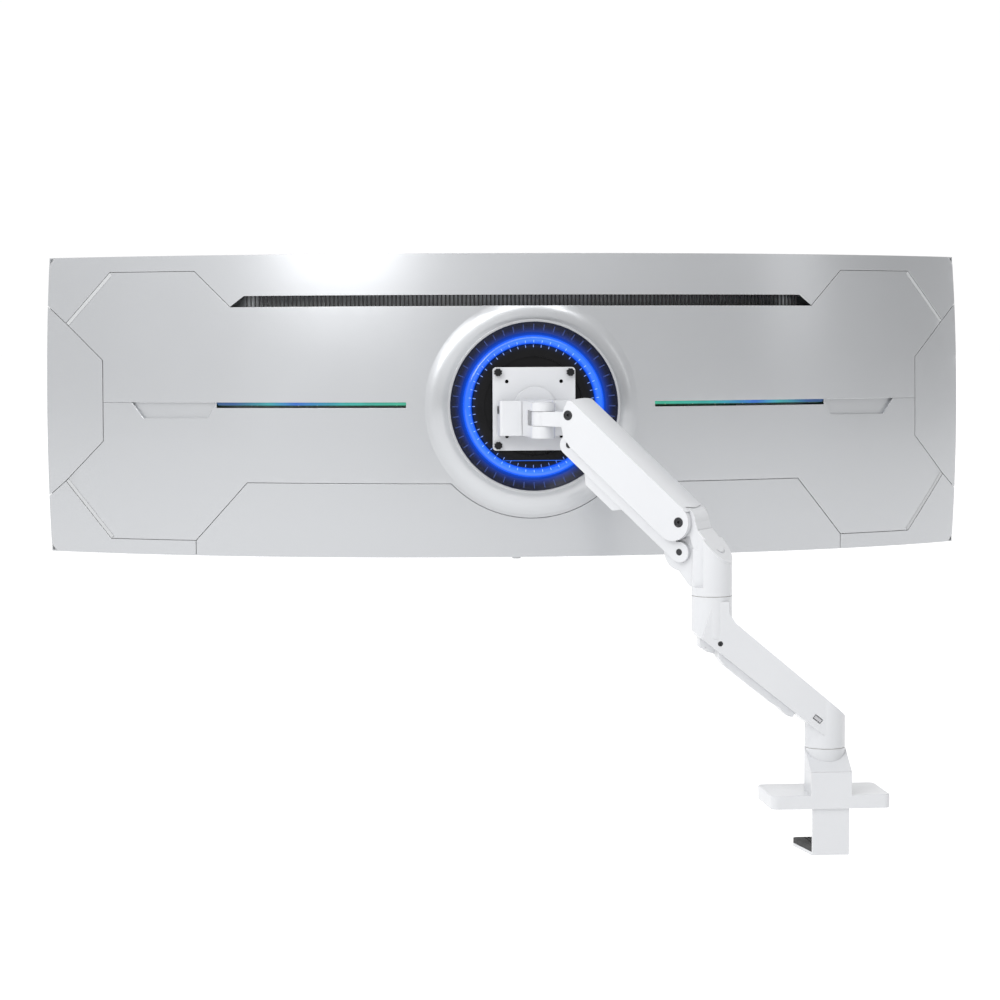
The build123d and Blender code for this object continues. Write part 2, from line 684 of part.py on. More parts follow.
    # bores of the pivot, the link pin and the spring pin
    with BuildSketch(UPPER_SIDE):
        with Locations((PIVOT_S, PIVOT_HEIGHT)):
            Circle(PIVOT_R + RUN)
        with Locations((PIVOT_S + LINK_BACK, PIVOT_HEIGHT - LINK_DROP)):
            Circle(LINK_PIN_R + RUN)
        with Locations((PIVOT_S, PIVOT_HEIGHT - SPRING_DROP)):
            Circle(SPRING_PIN_R)
    extrude(amount=COLLAR_R, both=True, mode=Mode.SUBTRACT)
    add(bush_room(ELBOW_FOOT), mode=Mode.SUBTRACT)
save(elbow_housing, "elbow_housing")

with BuildPart() as elbow_cap:
    with BuildSketch(Plane.XY.offset(CAP_LOW - CAP_T - 5)):
        with Locations((ELBOW.X, ELBOW.Y)):
            Circle(COLLAR_R)
    extrude(amount=CAP_HIGH - CAP_LOW + CAP_T + 12)
    with BuildSketch(UPPER_SIDE):
        with BuildLine():
            Polyline(
                (-COLLAR_R - 2, CAP_LOW - CAP_T - 2 * CAP_SLOPE),
                (CAP_REACH, CAP_HIGH - CAP_T),
                (CAP_REACH, CAP_HIGH),
                (-COLLAR_R - 2, CAP_LOW - 2 * CAP_SLOPE),
                close=True,
            )
        make_face()
    extrude(amount=COLLAR_R + 1, both=True, mode=Mode.INTERSECT)
    # flats beside the swinging cheeks
    for side in (-1, 1):
        with BuildSketch(UPPER_SIDE.offset(side * FLAT_HALF)):
            with Locations((COLLAR_R / 2 - 1, CAP_HIGH - 10)):
                Rectangle(COLLAR_R, 80)
        extrude(amount=side * COLLAR_R, mode=Mode.SUBTRACT)
    # curved thumb notch
    with BuildSketch(CAP_FACE):
        with Locations((COLLAR_R - 2, 0)):
            Circle(NOTCH_R)
        with Locations((COLLAR_R + 2, 0)):
            Circle(NOTCH_R + 1, mode=Mode.SUBTRACT)
    extrude(amount=-CAP_T / 2, mode=Mode.SUBTRACT)
save(elbow_cap, "elbow_cap")

ANCHOR = (PIVOT_S, PIVOT_HEIGHT - SPRING_DROP)
with BuildPart() as spring_anchor:
    add(round_bar(UPPER_SIDE, ANCHOR, SPRING_PIN_R, -LOBE_HALF, LOBE_HALF))
save(spring_anchor, "spring_anchor")

# ================================================================ upper arm
SPRING_TOP = ARM_LENGTH - 50.0      # the gas spring's upper pin, along the arm
END_R = (ARM_ABOVE + ARM_BELOW) / 2
END_X = 7.4
END_B = (ARM_ABOVE - ARM_BELOW) / 2


with BuildPart() as upper_arm:
    with BuildSketch(ARM_SIDE):
        with BuildLine():
            tail = ThreePointArc((END_X, ARM_ABOVE), (END_X - END_R, END_B), (END_X, -ARM_BELOW))
            nose = Polyline(
                tail @ 1,
                (ARM_LENGTH - 29, -ARM_BELOW),
                (ARM_LENGTH - 12, -ARM_BELOW + 5),
                (ARM_LENGTH + ARM_NOSE * 0.55, -12),
                (ARM_LENGTH + ARM_NOSE + 1.5, ARM_ABOVE - 4),
                (ARM_LENGTH + ARM_NOSE - 2, ARM_ABOVE),
            )
            Line(nose @ 1, tail @ 0)
        make_face()
    extrude(amount=ARM_HALF, both=True)
    # crowned back, a shallow arch from cheek to cheek
    with BuildSketch(Plane(origin=ARM_SIDE.origin, x_dir=ARM_SIDE.z_dir, z_dir=ARM_SIDE.x_dir * -1)):
        with BuildLine():
            ThreePointArc((-ARM_HALF, ARM_ABOVE), (0, ARM_ABOVE + ARM_CROWN), (ARM_HALF, ARM_ABOVE))
            Line((ARM_HALF, ARM_ABOVE), (-ARM_HALF, ARM_ABOVE))
        make_face()
    extrude(amount=-(ARM_LENGTH + ARM_NOSE - 2))
    # hollow between the cheeks, open below and at both ends
    with BuildSketch(ARM_SIDE):
        with Locations((ARM_LENGTH / 2, (ARM_ABOVE - ARM_ROOF - 60) / 2)):
            Rectangle(ARM_LENGTH + 100, ARM_ABOVE - ARM_ROOF + 60)
        with Locations((0, 0)):
            Circle(BOSS_R + 0.7)
        with Locations((-40, 10)):
            Rectangle(80, 60)
    extrude(amount=ARM_INNER, both=True, mode=Mode.SUBTRACT)
    with BuildSketch(ARM_SIDE):
        with Locations((0, 0), (ARM_LENGTH, 0)):
            Circle(PIVOT_R)
    extrude(amount=ARM_HALF, both=True, mode=Mode.SUBTRACT)
    with BuildSketch(ARM_SIDE):
        with Locations((SPRING_TOP, SPRING_DZ)):
            Circle(SPRING_PIN_R)
    extrude(amount=ARM_INNER + 4, both=True, mode=Mode.SUBTRACT)
save(upper_arm, "upper_arm")


def pivot_pin(centre, radius, half, head_radius):
    """Pin across the arm with a flush socket head on each side."""
    with BuildPart() as pin:
        with BuildSketch(ARM_SIDE):
            with Locations(centre):
                Circle(radius)
        extrude(amount=half - 3.0, both=True)
        for side in (-1, 1):
            with BuildSketch(ARM_SIDE.offset(side * (half - 3.0))):
                with Locations(centre):
                    Circle(radius)
                    RegularPolygon(2.6, 6, mode=Mode.SUBTRACT)
            extrude(amount=side * 3.0)
    return pin


elbow_pin = pivot_pin((0, 0), PIVOT_R, ARM_HALF - 0.4, PIVOT_R)
save(elbow_pin, "elbow_pin")
head_pin = pivot_pin((ARM_LENGTH, 0), PIVOT_R, ARM_HALF - 0.4, PIVOT_R)
save(head_pin, "head_pin")


def across_arm(along):
    """Plane square to the upper arm on the line of the gas spring, this far from the pivot."""
    return Plane(ARM_SIDE.from_local_coords(Vector(along, SPRING_DZ, 0)), z_dir=ARM_SIDE.x_dir)


GAS_END = 62.0                # open end of the gas cylinder, from the lower pivot
with BuildPart() as gas_spring_cylinder:
    with BuildSketch(across_arm(GAS_END)):
        Circle(GAS_R)
    extrude(amount=SPRING_TOP - GAS_END - SPRING_PIN_R)
    with BuildSketch(ARM_SIDE):
        with Locations((SPRING_TOP, SPRING_DZ)):
            Circle(GAS_R - 1)
    extrude(amount=6, both=True)
    with BuildSketch(ARM_SIDE):
        with Locations((SPRING_TOP, SPRING_DZ)):
            Circle(SPRING_PIN_R + RUN)
    extrude(amount=10, both=True, mode=Mode.SUBTRACT)
    with BuildSketch(across_arm(GAS_END)):
        Circle(ROD_R + RUN)
    extrude(amount=SPRING_TOP - GAS_END - GAS_R - 4, mode=Mode.SUBTRACT)
save(gas_spring_cylinder, "gas_spring_cylinder")

with BuildPart() as spring_pin:
    with BuildSketch(ARM_SIDE):
        with Locations((SPRING_TOP, SPRING_DZ)):
            Circle(SPRING_PIN_R)
    extrude(amount=ARM_INNER + 4, both=True)
save(spring_pin, "spring_pin")

EYE_R = SPRING_PIN_R + SPRING_PLAY + SPRING_EYE_T
ROD_IN = 60.0                 # length of rod inside the cylinder
with BuildPart() as gas_spring_rod:
    with BuildSketch(across_arm(SPRING_DX)):
        Circle(ROD_R)
    extrude(amount=GAS_END - SPRING_DX + ROD_IN)
    with BuildSketch(ARM_SIDE):
        with Locations((SPRING_DX, SPRING_DZ)):
            Circle(EYE_R)
    extrude(amount=SPRING_SLOT - 2.5, both=True)
    with BuildSketch(ARM_SIDE):
        with Locations((SPRING_DX, SPRING_DZ)):
            Circle(SPRING_PIN_R + SPRING_PLAY)
    extrude(amount=SPRING_SLOT, both=True, mode=Mode.SUBTRACT)
save(gas_spring_rod, "gas_spring_rod")

# ================================================================ parallel link
LINK_END = LINK_DX + ARM_LENGTH
with BuildPart() as parallel_link:
    with BuildSketch(ARM_SIDE):
        with Locations((LINK_DX, LINK_DZ), (LINK_END, LINK_DZ)):
            Circle(LINK_R)
        with Locations((LINK_DX + ARM_LENGTH / 2, LINK_DZ - (LINK_R - LINK_TOP) / 2)):
            Rectangle(ARM_LENGTH, LINK_R + LINK_TOP)
    extrude(amount=LINK_HALF, both=True)
    with BuildSketch(ARM_SIDE):
        with Locations((LINK_DX, LINK_DZ), (LINK_END, LINK_DZ)):
            Circle(LINK_WEB_FROM)
        with Locations((LINK_DX + ARM_LENGTH / 2, LINK_DZ + LINK_TOP)):
            Rectangle(ARM_LENGTH, 2 * (LINK_TOP + LINK_R - LINK_WEB_T))
    extrude(amount=LINK_INNER, both=True, mode=Mode.SUBTRACT)
    with BuildSketch(ARM_SIDE):
        with Locations((LINK_DX, LINK_DZ), (LINK_END, LINK_DZ)):
            Circle(LINK_PIN_R)
    extrude(amount=LINK_HALF, both=True, mode=Mode.SUBTRACT)
save(parallel_link, "parallel_link")

with BuildPart() as link_pins:
    with BuildSketch(ARM_SIDE):
        with Locations((LINK_DX, LINK_DZ), (LINK_END, LINK_DZ)):
            Circle(LINK_PIN_R)
    extrude(amount=LINK_HALF - 0.3, both=True)
save(link_pins, "link_pins")

CLIP_FROM, CLIP_TO = 77.0, 155.0
CLIP_DEPTH = 13.0
with BuildPart() as upper_cable_clip:
    with BuildSketch(ARM_SIDE):
        with BuildLine():
            Polyline(
                (CLIP_FROM, LINK_DZ - LINK_R),
                (CLIP_FROM + CLIP_DEPTH, LINK_DZ - LINK_R - CLIP_DEPTH),
                (CLIP_TO - CLIP_DEPTH, LINK_DZ - LINK_R - CLIP_DEPTH),
                (CLIP_TO, LINK_DZ - LINK_R),
                close=True,
            )
        make_face()
    extrude(amount=LINK_INNER, both=True)
    with BuildSketch(ARM_SIDE):
        with Locations(((CLIP_FROM + CLIP_TO) / 2, LINK_DZ - LINK_R - CLIP_DEPTH / 2)):
            Rectangle(CLIP_TO - CLIP_FROM + 10, CLIP_DEPTH - 5)
    extrude(amount=LINK_INNER - 2.5, both=True, mode=Mode.SUBTRACT)
save(upper_cable_clip, "upper_cable_clip")

# ================================================================ head
HEAD_LINK_R = 13.2
with BuildPart() as head_link:
    with BuildSketch(UPPER_SIDE):
        with BuildLine():
            Polyline(
                (HEAD_S - 11, HEAD_Z + 4),
                (HEAD_S + 11, HEAD_Z + 4),
                (HEAD_S + 20, HEAD_Z - 4),
                (HEAD_S + 15, HEAD_Z - LINK_DROP),
                (HEAD_S - 6, HEAD_Z - LINK_DROP),
                close=True,
            )
        make_face()
        with Locations((HEAD_S, HEAD_Z)):
            Circle(HEAD_LINK_R)
        with Locations((HEAD_S + LINK_BACK, HEAD_Z - LINK_DROP)):
            Circle(LINK_R - 1.5)
    extrude(amount=LINK_INNER - GAP, both=True)
    with BuildSketch(UPPER_SIDE):
        with Locations((HEAD_S, HEAD_Z)):
            Circle(HEAD_LINK_R)
    extrude(amount=ARM_INNER - GAP, both=True)
    with BuildSketch(Plane.XY.offset(TONGUE_LOW)):
        with Locations((PAN.X, PAN.Y)):
            Circle(TONGUE_R)
        with Locations(Location(((PAN.X + HEAD_PIVOT.X) / 2, (PAN.Y + HEAD_PIVOT.Y) / 2), UPPER_HEADING)):
            Rectangle(HEAD_OFFSET, 2 * LINK_INNER - 2 * GAP)
    extrude(amount=TONGUE_TOP - TONGUE_LOW)
    with BuildSketch(UPPER_SIDE):
        with Locations((HEAD_S, HEAD_Z)):
            Circle(PIVOT_R + RUN)
        with Locations((HEAD_S + LINK_BACK, HEAD_Z - LINK_DROP)):
            Circle(LINK_PIN_R + RUN)
    extrude(amount=ARM_HALF, both=True, mode=Mode.SUBTRACT)
    with BuildSketch(Plane.XY.offset(TONGUE_LOW)):
        with Locations((PAN.X, PAN.Y)):
            Circle(PAN_PIN_R + RUN)
    extrude(amount=TONGUE_TOP - TONGUE_LOW, mode=Mode.SUBTRACT)
save(head_link, "head_link")

TILT = MONITOR * Location((0, -TILT_BACK, TILT_Z))
TILT_SIDE = Plane(TILT * Plane.YZ.location)
FORK_BACK = TILT.position.Y + FORK_LIP
FORK_ROOT = FORK_BACK - 26.0
with BuildPart() as pan_fork:
    with BuildSketch(Plane.XY.offset(FORK_LOW)):
        with BuildLine():
            tip = ThreePointArc((PAN.X + PAN_R, PAN.Y), (PAN.X, PAN.Y - PAN_R), (PAN.X - PAN_R, PAN.Y))
            Polyline(
                tip @ 1,
                (PAN.X - KNUCKLE_HALF, FORK_ROOT),
                (PAN.X - KNUCKLE_HALF, FORK_BACK),
                (PAN.X + KNUCKLE_HALF, FORK_BACK),
                (PAN.X + KNUCKLE_HALF, FORK_ROOT),
                tip @ 0,
            )
        make_face()
    extrude(amount=FORK_TOP - FORK_LOW)
    with BuildSketch(Plane.XY.offset(TONGUE_LOW - GAP)):
        with Locations((PAN.X, PAN.Y)):
            Circle(TONGUE_R + 12)
        with Locations((PAN.X, PAN.Y - 20)):
            Rectangle(4 * PAN_R, 40)
    extrude(amount=TONGUE_TOP - TONGUE_LOW + 2 * GAP, mode=Mode.SUBTRACT)
    with BuildSketch(Plane.XY.offset(FORK_LOW)):
        with Locations((PAN.X, PAN.Y)):
            Circle(PAN_PIN_R)
    extrude(amount=FORK_TOP - FORK_LOW, mode=Mode.SUBTRACT)
    # the back is cut away above and below the tilt bolt, so that the plate can lean
    for edge, angle in ((FORK_TOP + 5, TILT_UP), (FORK_LOW - 5, TILT_DOWN)):
        run = abs(edge - TILT.position.Z)
        with BuildSketch(Plane.YZ.offset(PAN.X)):
            with BuildLine():
                Polyline(
                    (TILT.position.Y + FORK_LIP, TILT.position.Z),
                    (TILT.position.Y + FORK_LIP + 5, TILT.position.Z),
                    (TILT.position.Y + FORK_LIP + 5, edge),
                    (TILT.position.Y + FORK_LIP - run * tan(radians(angle + DISPLAY_TILT + 3)), edge),
                    close=True,
                )
            make_face()
        extrude(amount=KNUCKLE_HALF, both=True, mode=Mode.SUBTRACT)
    with BuildSketch(TILT_SIDE):
        Circle(TILT_BOLT_R + RUN)
    extrude(amount=KNUCKLE_HALF, both=True, mode=Mode.SUBTRACT)
save(pan_fork, "pan_fork")

with BuildPart() as pan_pin:
    with BuildSketch(Plane.XY.offset(FORK_LOW)):
        with Locations((PAN.X, PAN.Y)):
            Circle(PAN_PIN_R)
    extrude(amount=FORK_TOP - FORK_LOW)
    with BuildSketch(Plane.XY.offset(FORK_TOP)):
        with Locations((PAN.X, PAN.Y)):
            Circle(PAN_R - 3)
    extrude(amount=1.6)
    fillet(pan_pin.edges().group_by(Axis.Z)[-1], 0.7)
save(pan_pin, "pan_pin")

EAR_FACE = HUB_FACE + VESA_PLATE_T + ROLL_T     # rear face of the roll disc
with BuildPart() as tilt_bracket:
    with BuildSketch(behind(EAR_FACE)):
        with Locations((0, PLATE_Z)):
            Circle(ROLL_R + 4)
            Rectangle(2 * HEAD_HALF, 20)
    extrude(amount=BRACKET_T)
    for side in (-1, 1):
        with BuildSketch(level(PLATE_Z - 36)):
            with BuildLine():
                Polyline(
                    (side * HEAD_HALF, -EAR_FACE),
                    (side * HEAD_HALF, -EAR_FACE - 28),
                    (side * (HEAD_HALF - 3), -EAR_FACE - 31),
                    (side * (KNUCKLE_HALF + GAP), -EAR_FACE - 31),
                    (side * (KNUCKLE_HALF + GAP), -EAR_FACE - 8),
                    (side * (HEAD_HALF - EAR_T), -EAR_FACE - 8),
                    (side * (HEAD_HALF - EAR_T), -EAR_FACE),
                    close=True,
                )
            make_face()
        extrude(amount=FORK_TOP - FORK_LOW)
    with BuildSketch(TILT_SIDE):
        Circle(TILT_BOLT_R)
    extrude(amount=HEAD_HALF + 1, both=True, mode=Mode.SUBTRACT)
    with BuildSketch(behind(EAR_FACE)):
        with Locations((0, PLATE_Z)):
            Circle(ROLL_PIN_R + RUN)
    extrude(amount=BRACKET_T, mode=Mode.SUBTRACT)
save(tilt_bracket, "tilt_bracket")

with BuildPart() as tilt_bolt:
    with BuildSketch(TILT_SIDE):
        Circle(TILT_BOLT_R)
    extrude(amount=HEAD_HALF, both=True)
    for side in (-1, 1):
        with BuildSketch(TILT_SIDE.offset(side * HEAD_HALF)):
            Circle(5.6)
            RegularPolygon(2.6, 6, mode=Mode.SUBTRACT)
        extrude(amount=side * 1.2)
save(tilt_bolt, "tilt_bolt")

# ================================================================ mounting plate
with BuildPart() as roll_disc:
    with BuildSketch(behind(HUB_FACE + VESA_PLATE_T)):
        with Locations((0, PLATE_Z)):
            Circle(ROLL_R)
    extrude(amount=ROLL_T - GAP)
    with BuildSketch(behind(HUB_FACE + VESA_PLATE_T)):
        with Locations((0, PLATE_Z)):
            Circle(ROLL_PIN_R)
    extrude(amount=ROLL_T + BRACKET_T)
save(roll_disc, "roll_disc")

with BuildPart() as vesa_plate:
    with BuildSketch(behind(HUB_FACE)):
        with Locations((0, PLATE_Z)):
            RectangleRounded(VESA_PLATE, VESA_PLATE, 5)
            with GridLocations(VESA, VESA, 2, 2):
                Circle(VESA_HOLE_R, mode=Mode.SUBTRACT)
            with GridLocations(VESA_SMALL, VESA_SMALL, 2, 2):
                Circle(VESA_HOLE_R, mode=Mode.SUBTRACT)
    extrude(amount=VESA_PLATE_T)
save(vesa_plate, "vesa_plate")

KNOB_T = 7.0
STUD_LENGTH = 10.0
with BuildPart() as vesa_screws:
    with BuildSketch(behind(HUB_FACE - STUD_LENGTH)):
        with Locations((0, PLATE_Z)):
            with GridLocations(VESA, VESA, 2, 2):
                Circle(STUD_R)
    extrude(amount=STUD_LENGTH + VESA_PLATE_T)
    with BuildSketch(behind(HUB_FACE + VESA_PLATE_T)):
        with Locations((0, PLATE_Z)):
            with GridLocations(VESA, VESA, 2, 2):
                Circle(KNOB_R)
                with PolarLocations(KNOB_R + 0.5, 8):
                    Circle(1.3, mode=Mode.SUBTRACT)
    extrude(amount=KNOB_T)
save(vesa_screws, "vesa_screws")


# ================================================================ display: curved bodies
def polar(radius, angle, centre):
    """Point on a plan circle round the screen's axis, measured from straight behind."""
    return (radius * sin(radians(angle)), centre - radius * cos(radians(angle)))


def screen_sector(near, far, angles, half_height, height=0.0):
    """Curved slab that follows the screen, between two radii and two angles."""
    start, end = angles
    stops = (start, (start + end) / 2, end)
    with BuildPart() as slab:
        with BuildSketch(level(height - half_height)):
            with BuildLine():
                inner = ThreePointArc(*(polar(near, a, SCREEN_R) for a in stops))
                outer = ThreePointArc(*(polar(far, a, SCREEN_R) for a in reversed(stops)))
                Line(inner @ 1, outer @ 0)
                Line(outer @ 1, inner @ 0)
            make_face()
        extrude(amount=2 * half_height)
    return slab.part


def arc_to(angle):
    """Equal angles on both sides of the middle."""
    return (-angle, angle)


def arc_inset(distance):
    """Half angle of the screen less a distance along it."""
    return SCREEN_ANGLE - degrees(distance / SCREEN_R)


def crown(height):
    """How far the rear face falls back at a height."""
    return REAR_CROWN_R - sqrt(REAR_CROWN_R**2 - height**2)


REAR_AXIS = Axis(MONITOR.position + level(0).y_dir * REAR_CENTRE, level(0).z_dir)


def rear_body(inset):
    """Solid of revolution bounded by the rear face, or by a face a distance inside it."""
    reach = REAR_R - inset
    edge = reach - crown(HALF_HEIGHT)
    with BuildPart() as body:
        with BuildSketch(in_display(Plane.YZ)):
            with BuildLine():
                arc = ThreePointArc(
                    (REAR_CENTRE - edge, -HALF_HEIGHT),
                    (REAR_CENTRE - reach, 0),
                    (REAR_CENTRE - edge, HALF_HEIGHT),
                )
                Polyline(arc @ 1, (REAR_CENTRE, HALF_HEIGHT), (REAR_CENTRE, -HALF_HEIGHT), arc @ 0)
            make_face()
        revolve(axis=REAR_AXIS)
    return body.part


def hub_body(inset):
    """The same solid with the swelling that carries the light ring, flared into the rear face."""
    middle = behind(0).from_local_coords(Vector(0, HUB_Z, 0))
    with BuildPart() as body:
        add(rear_body(inset))
        with BuildSketch(in_display(Plane.YZ)):
            with BuildLine():
                Polyline(
                    (-HUB_RIM + inset, HUB_Z),
                    (-HUB_RIM + inset, HUB_Z + HUB_R + 3 - inset),
                    (-HUB_RIM + HUB_SKIRT, HUB_Z + HUB_FOOT_R - inset),
                    (-HUB_RIM + HUB_SKIRT, HUB_Z),
                    close=True,
                )
            make_face()
        revolve(axis=Axis(middle, behind(0).z_dir))
        fillet(body.edges().filter_by(GeomType.BSPLINE), HUB_FLARE)
    return body.part


CASE_NEAR = SCREEN_R + FRAME_DEPTH
CASE_FAR = SCREEN_R + 90.0
with BuildPart() as case_shell:
    add(screen_sector(CASE_NEAR + SEAM, CASE_FAR, arc_to(SCREEN_ANGLE), HALF_HEIGHT))
    add(hub_body(0), mode=Mode.INTERSECT)
    with BuildPart(mode=Mode.PRIVATE) as inside:
        add(screen_sector(CASE_NEAR - 5, CASE_FAR, arc_to(arc_inset(WALL)), HALF_HEIGHT - WALL))
        add(hub_body(WALL), mode=Mode.INTERSECT)
    add(inside.part, mode=Mode.SUBTRACT)
    with BuildSketch(behind(HUB_RIM - 30)):
        with Locations((0, HUB_Z)):
            Circle(HUB_R)
    extrude(amount=60, mode=Mode.SUBTRACT)


# ================================================================ display: rear panels
# outline points of the right half; x from the middle, y up
EDGE_X = 720.0                # beyond the case's side
TOP_Y = 225.0                 # beyond its top and bottom
CAP_TOP, CAP_BOTTOM = (664.0, 143.0), (662.0, -130.0)
CORNER_TOP, CORNER_BOTTOM = (636.0, 116.0), (638.0, -108.0)
CAP_IN_TOP, CAP_IN_BOTTOM = (585.0, 63.5), (585.0, -50.5)
STRIP_TOP, STRIP_BOTTOM = (574.0, 187.0), (575.0, -188.0)
SHELF_X = 458.0               # where the top seam turns down to the vent
VENT_LOW, VENT_HIGH = (410.0, 137.0), (391.0, 152.0)
COVER_SHOULDER = (388.0, -106.5)
COVER_NECK = (112.0, -107.5)
STRIP_W = 5.3
HUB_SEAM_R = 154.4            # seam that goes round the hub


def flip(points, side):
    """Outline points on one side of the display."""
    return [(side * x, y) for x, y in points]


def both_sides(points):
    """Outline that runs down the right side and back up the left."""
    return flip(points, 1) + flip(reversed(points), -1)


def cut_panel(points, shrink=SEAM / 2, hub=0):
    """The part of the case shell inside an outline, less half a seam all round.

    hub is 1 where the outline takes in the disc round the light ring, -1 where it goes round it.
    """
    with BuildPart() as panel:
        add(case_shell.part)
        with BuildSketch(behind(-300)):
            with BuildLine():
                Polyline(*points, close=True)
            make_face()
            offset(amount=-shrink, kind=Kind.INTERSECTION)
            if hub:
                with Locations((0, HUB_Z)):
                    Circle(HUB_SEAM_R - hub * shrink, mode=Mode.ADD if hub > 0 else Mode.SUBTRACT)
        extrude(amount=400, mode=Mode.INTERSECT)
    return panel


def column(points, grow=0.0):
    """Prism right through the display with an outline."""
    with BuildPart() as made:
        with BuildSketch(behind(-300)):
            with BuildLine():
                Polyline(*points, close=True)
            make_face()
            if grow:
                offset(amount=grow, kind=Kind.INTERSECTION)
        extrude(amount=400)
    return made.part


def skin(points, outer, inner, grow=0.0):
    """Piece with an outline that follows the rear face between two depths below it."""
    with BuildPart() as made:
        add(column(points, grow))
        add(rear_body(outer), mode=Mode.INTERSECT)
        add(rear_body(inner), mode=Mode.SUBTRACT)
    return made


def strip_points(start, end, width):
    """Narrow band that lies inside a sloping seam."""
    run = Vector(*end) - Vector(*start)
    inward = Vector(-run.Y, run.X).normalized() * width
    if inward.X > 0:
        inward = inward * -1
    return [start, end, (end[0] + inward.X, end[1] + inward.Y), (start[0] + inward.X, start[1] + inward.Y)]


TOP_OUTLINE = both_sides(
    [
        (EDGE_X, TOP_Y),
        (EDGE_X, CAP_TOP[1]),
        CAP_TOP,
        CORNER_TOP,
        STRIP_TOP,
        (SHELF_X, STRIP_TOP[1]),
        VENT_LOW,
    ]
)
CENTRE_OUTLINE = both_sides(
    [
        VENT_LOW,
        (SHELF_X, STRIP_TOP[1]),
        STRIP_TOP,
        CORNER_TOP,
        CAP_IN_TOP,
        CAP_IN_BOTTOM,
        CORNER_BOTTOM,
        STRIP_BOTTOM,
        (SHELF_X, STRIP_BOTTOM[1]),
        COVER_SHOULDER,
        COVER_NECK,
    ]
)
COVER_OUTLINE = both_sides(
    [
        COVER_NECK,
        COVER_SHOULDER,
        (SHELF_X, STRIP_BOTTOM[1]),
        (SHELF_X, -TOP_Y),
    ]
)
VENT_OUTLINE = [VENT_LOW, VENT_HIGH, (-VENT_HIGH[0], VENT_HIGH[1]), (-VENT_LOW[0], VENT_LOW[1])]

with BuildPart() as top_panel:
    add(cut_panel(TOP_OUTLINE).part)
    add(column(VENT_OUTLINE), mode=Mode.SUBTRACT)
save(top_panel, "top_panel")

STRIPS = [
    flip(strip_points(start, end, STRIP_W), side)
    for side in (1, -1)
    for start, end in ((CORNER_TOP, STRIP_TOP), (CORNER_BOTTOM, STRIP_BOTTOM))
]
with BuildPart() as corner_strips:
    for points in STRIPS:
        add(cut_panel(points, 0.25).part)
save(corner_strips, "corner_strips")

# light slit and pocket on each side of the centre panel
SLIT_IN, SLIT_OUT = 173.0, 545.0
SLIT_LOW, SLIT_HIGH = -3.0, 4.5
LIGHT_LOW = 0.6
POCKET = [(545.0, SLIT_HIGH), (529.0, -18.0), (441.0, -17.5), (430.0, SLIT_HIGH)]
POCKET_DEPTH = 4.0
FLOOR_T = 2.0
SEAM_DEPTH = 1.2
LIGHT_SUNK = 1.6              # face of the light bars below the rear face
SLIT_OUT = POCKET[3][0] - 1
SLIT = [(SLIT_IN, SLIT_LOW), (SLIT_IN, SLIT_HIGH), (SLIT_OUT, SLIT_HIGH), (SLIT_OUT, SLIT_LOW)]
LIGHT = [(SLIT_IN, LIGHT_LOW), (SLIT_IN, SLIT_HIGH), (SLIT_OUT, SLIT_HIGH), (SLIT_OUT - 2.5, LIGHT_LOW)]
FINE_SEAM = [(SLIT_OUT, SLIT_HIGH - SEAM), (SLIT_OUT, SLIT_HIGH), (CAP_IN_TOP[0], SLIT_HIGH)]
FINE_SEAM.append((CAP_IN_TOP[0], SLIT_HIGH - SEAM))

ABOVE_VENT = both_sides([(HUB_SEAM_R, VENT_LOW[1]), (HUB_SEAM_R, HUB_SEAM_R + 10)])
with BuildPart() as centre_panel:
    add(cut_panel(CENTRE_OUTLINE, hub=1).part)
    add(column(ABOVE_VENT), mode=Mode.SUBTRACT)
    for points in STRIPS:
        add(column(points), mode=Mode.SUBTRACT)
    for side in (1, -1):
        add(skin(flip(POCKET, side), 0, POCKET_DEPTH + FLOOR_T, WALL).part)
    for side in (1, -1):
        with BuildPart(mode=Mode.PRIVATE) as hollow:
            add(column(flip(POCKET, side)))
            add(rear_body(POCKET_DEPTH), mode=Mode.SUBTRACT)
        add(hollow.part, mode=Mode.SUBTRACT)
        add(column(flip(SLIT, side)), mode=Mode.SUBTRACT)
        add(column(flip(LIGHT, side), 0.2), mode=Mode.SUBTRACT)
        with BuildPart(mode=Mode.PRIVATE) as groove:
            add(column(flip(FINE_SEAM, side)))
            add(rear_body(SEAM_DEPTH), mode=Mode.SUBTRACT)
        add(groove.part, mode=Mode.SUBTRACT)
save(centre_panel, "centre_panel")

CAP_OUTLINE = [
    (EDGE_X, CAP_TOP[1]),
    CAP_TOP,
    CORNER_TOP,
    CAP_IN_TOP,
    CAP_IN_BOTTOM,
    CORNER_BOTTOM,
    CAP_BOTTOM,
    (EDGE_X, CAP_BOTTOM[1]),
]
CORNER_OUTLINE = [
    (EDGE_X, CAP_BOTTOM[1]),
    CAP_BOTTOM,
    CORNER_BOTTOM,
    STRIP_BOTTOM,
    (SHELF_X, STRIP_BOTTOM[1]),
    (SHELF_X, -TOP_Y),
    (EDGE_X, -TOP_Y),
]
save(cut_panel(flip(CAP_OUTLINE, -1)), "end_cap_left")
save(cut_panel(flip(CAP_OUTLINE, 1)), "end_cap_right")
with BuildPart() as bottom_corners:
    for side in (1, -1):
        add(cut_panel(flip(CORNER_OUTLINE, side)).part)
save(bottom_corners, "bottom_corners")

with BuildPart() as light_bars:
    for side in (1, -1):
        add(skin(flip(LIGHT, side), LIGHT_SUNK, WALL + FLOOR_T + LIGHT_SUNK).part)
save(light_bars, "light_bars")

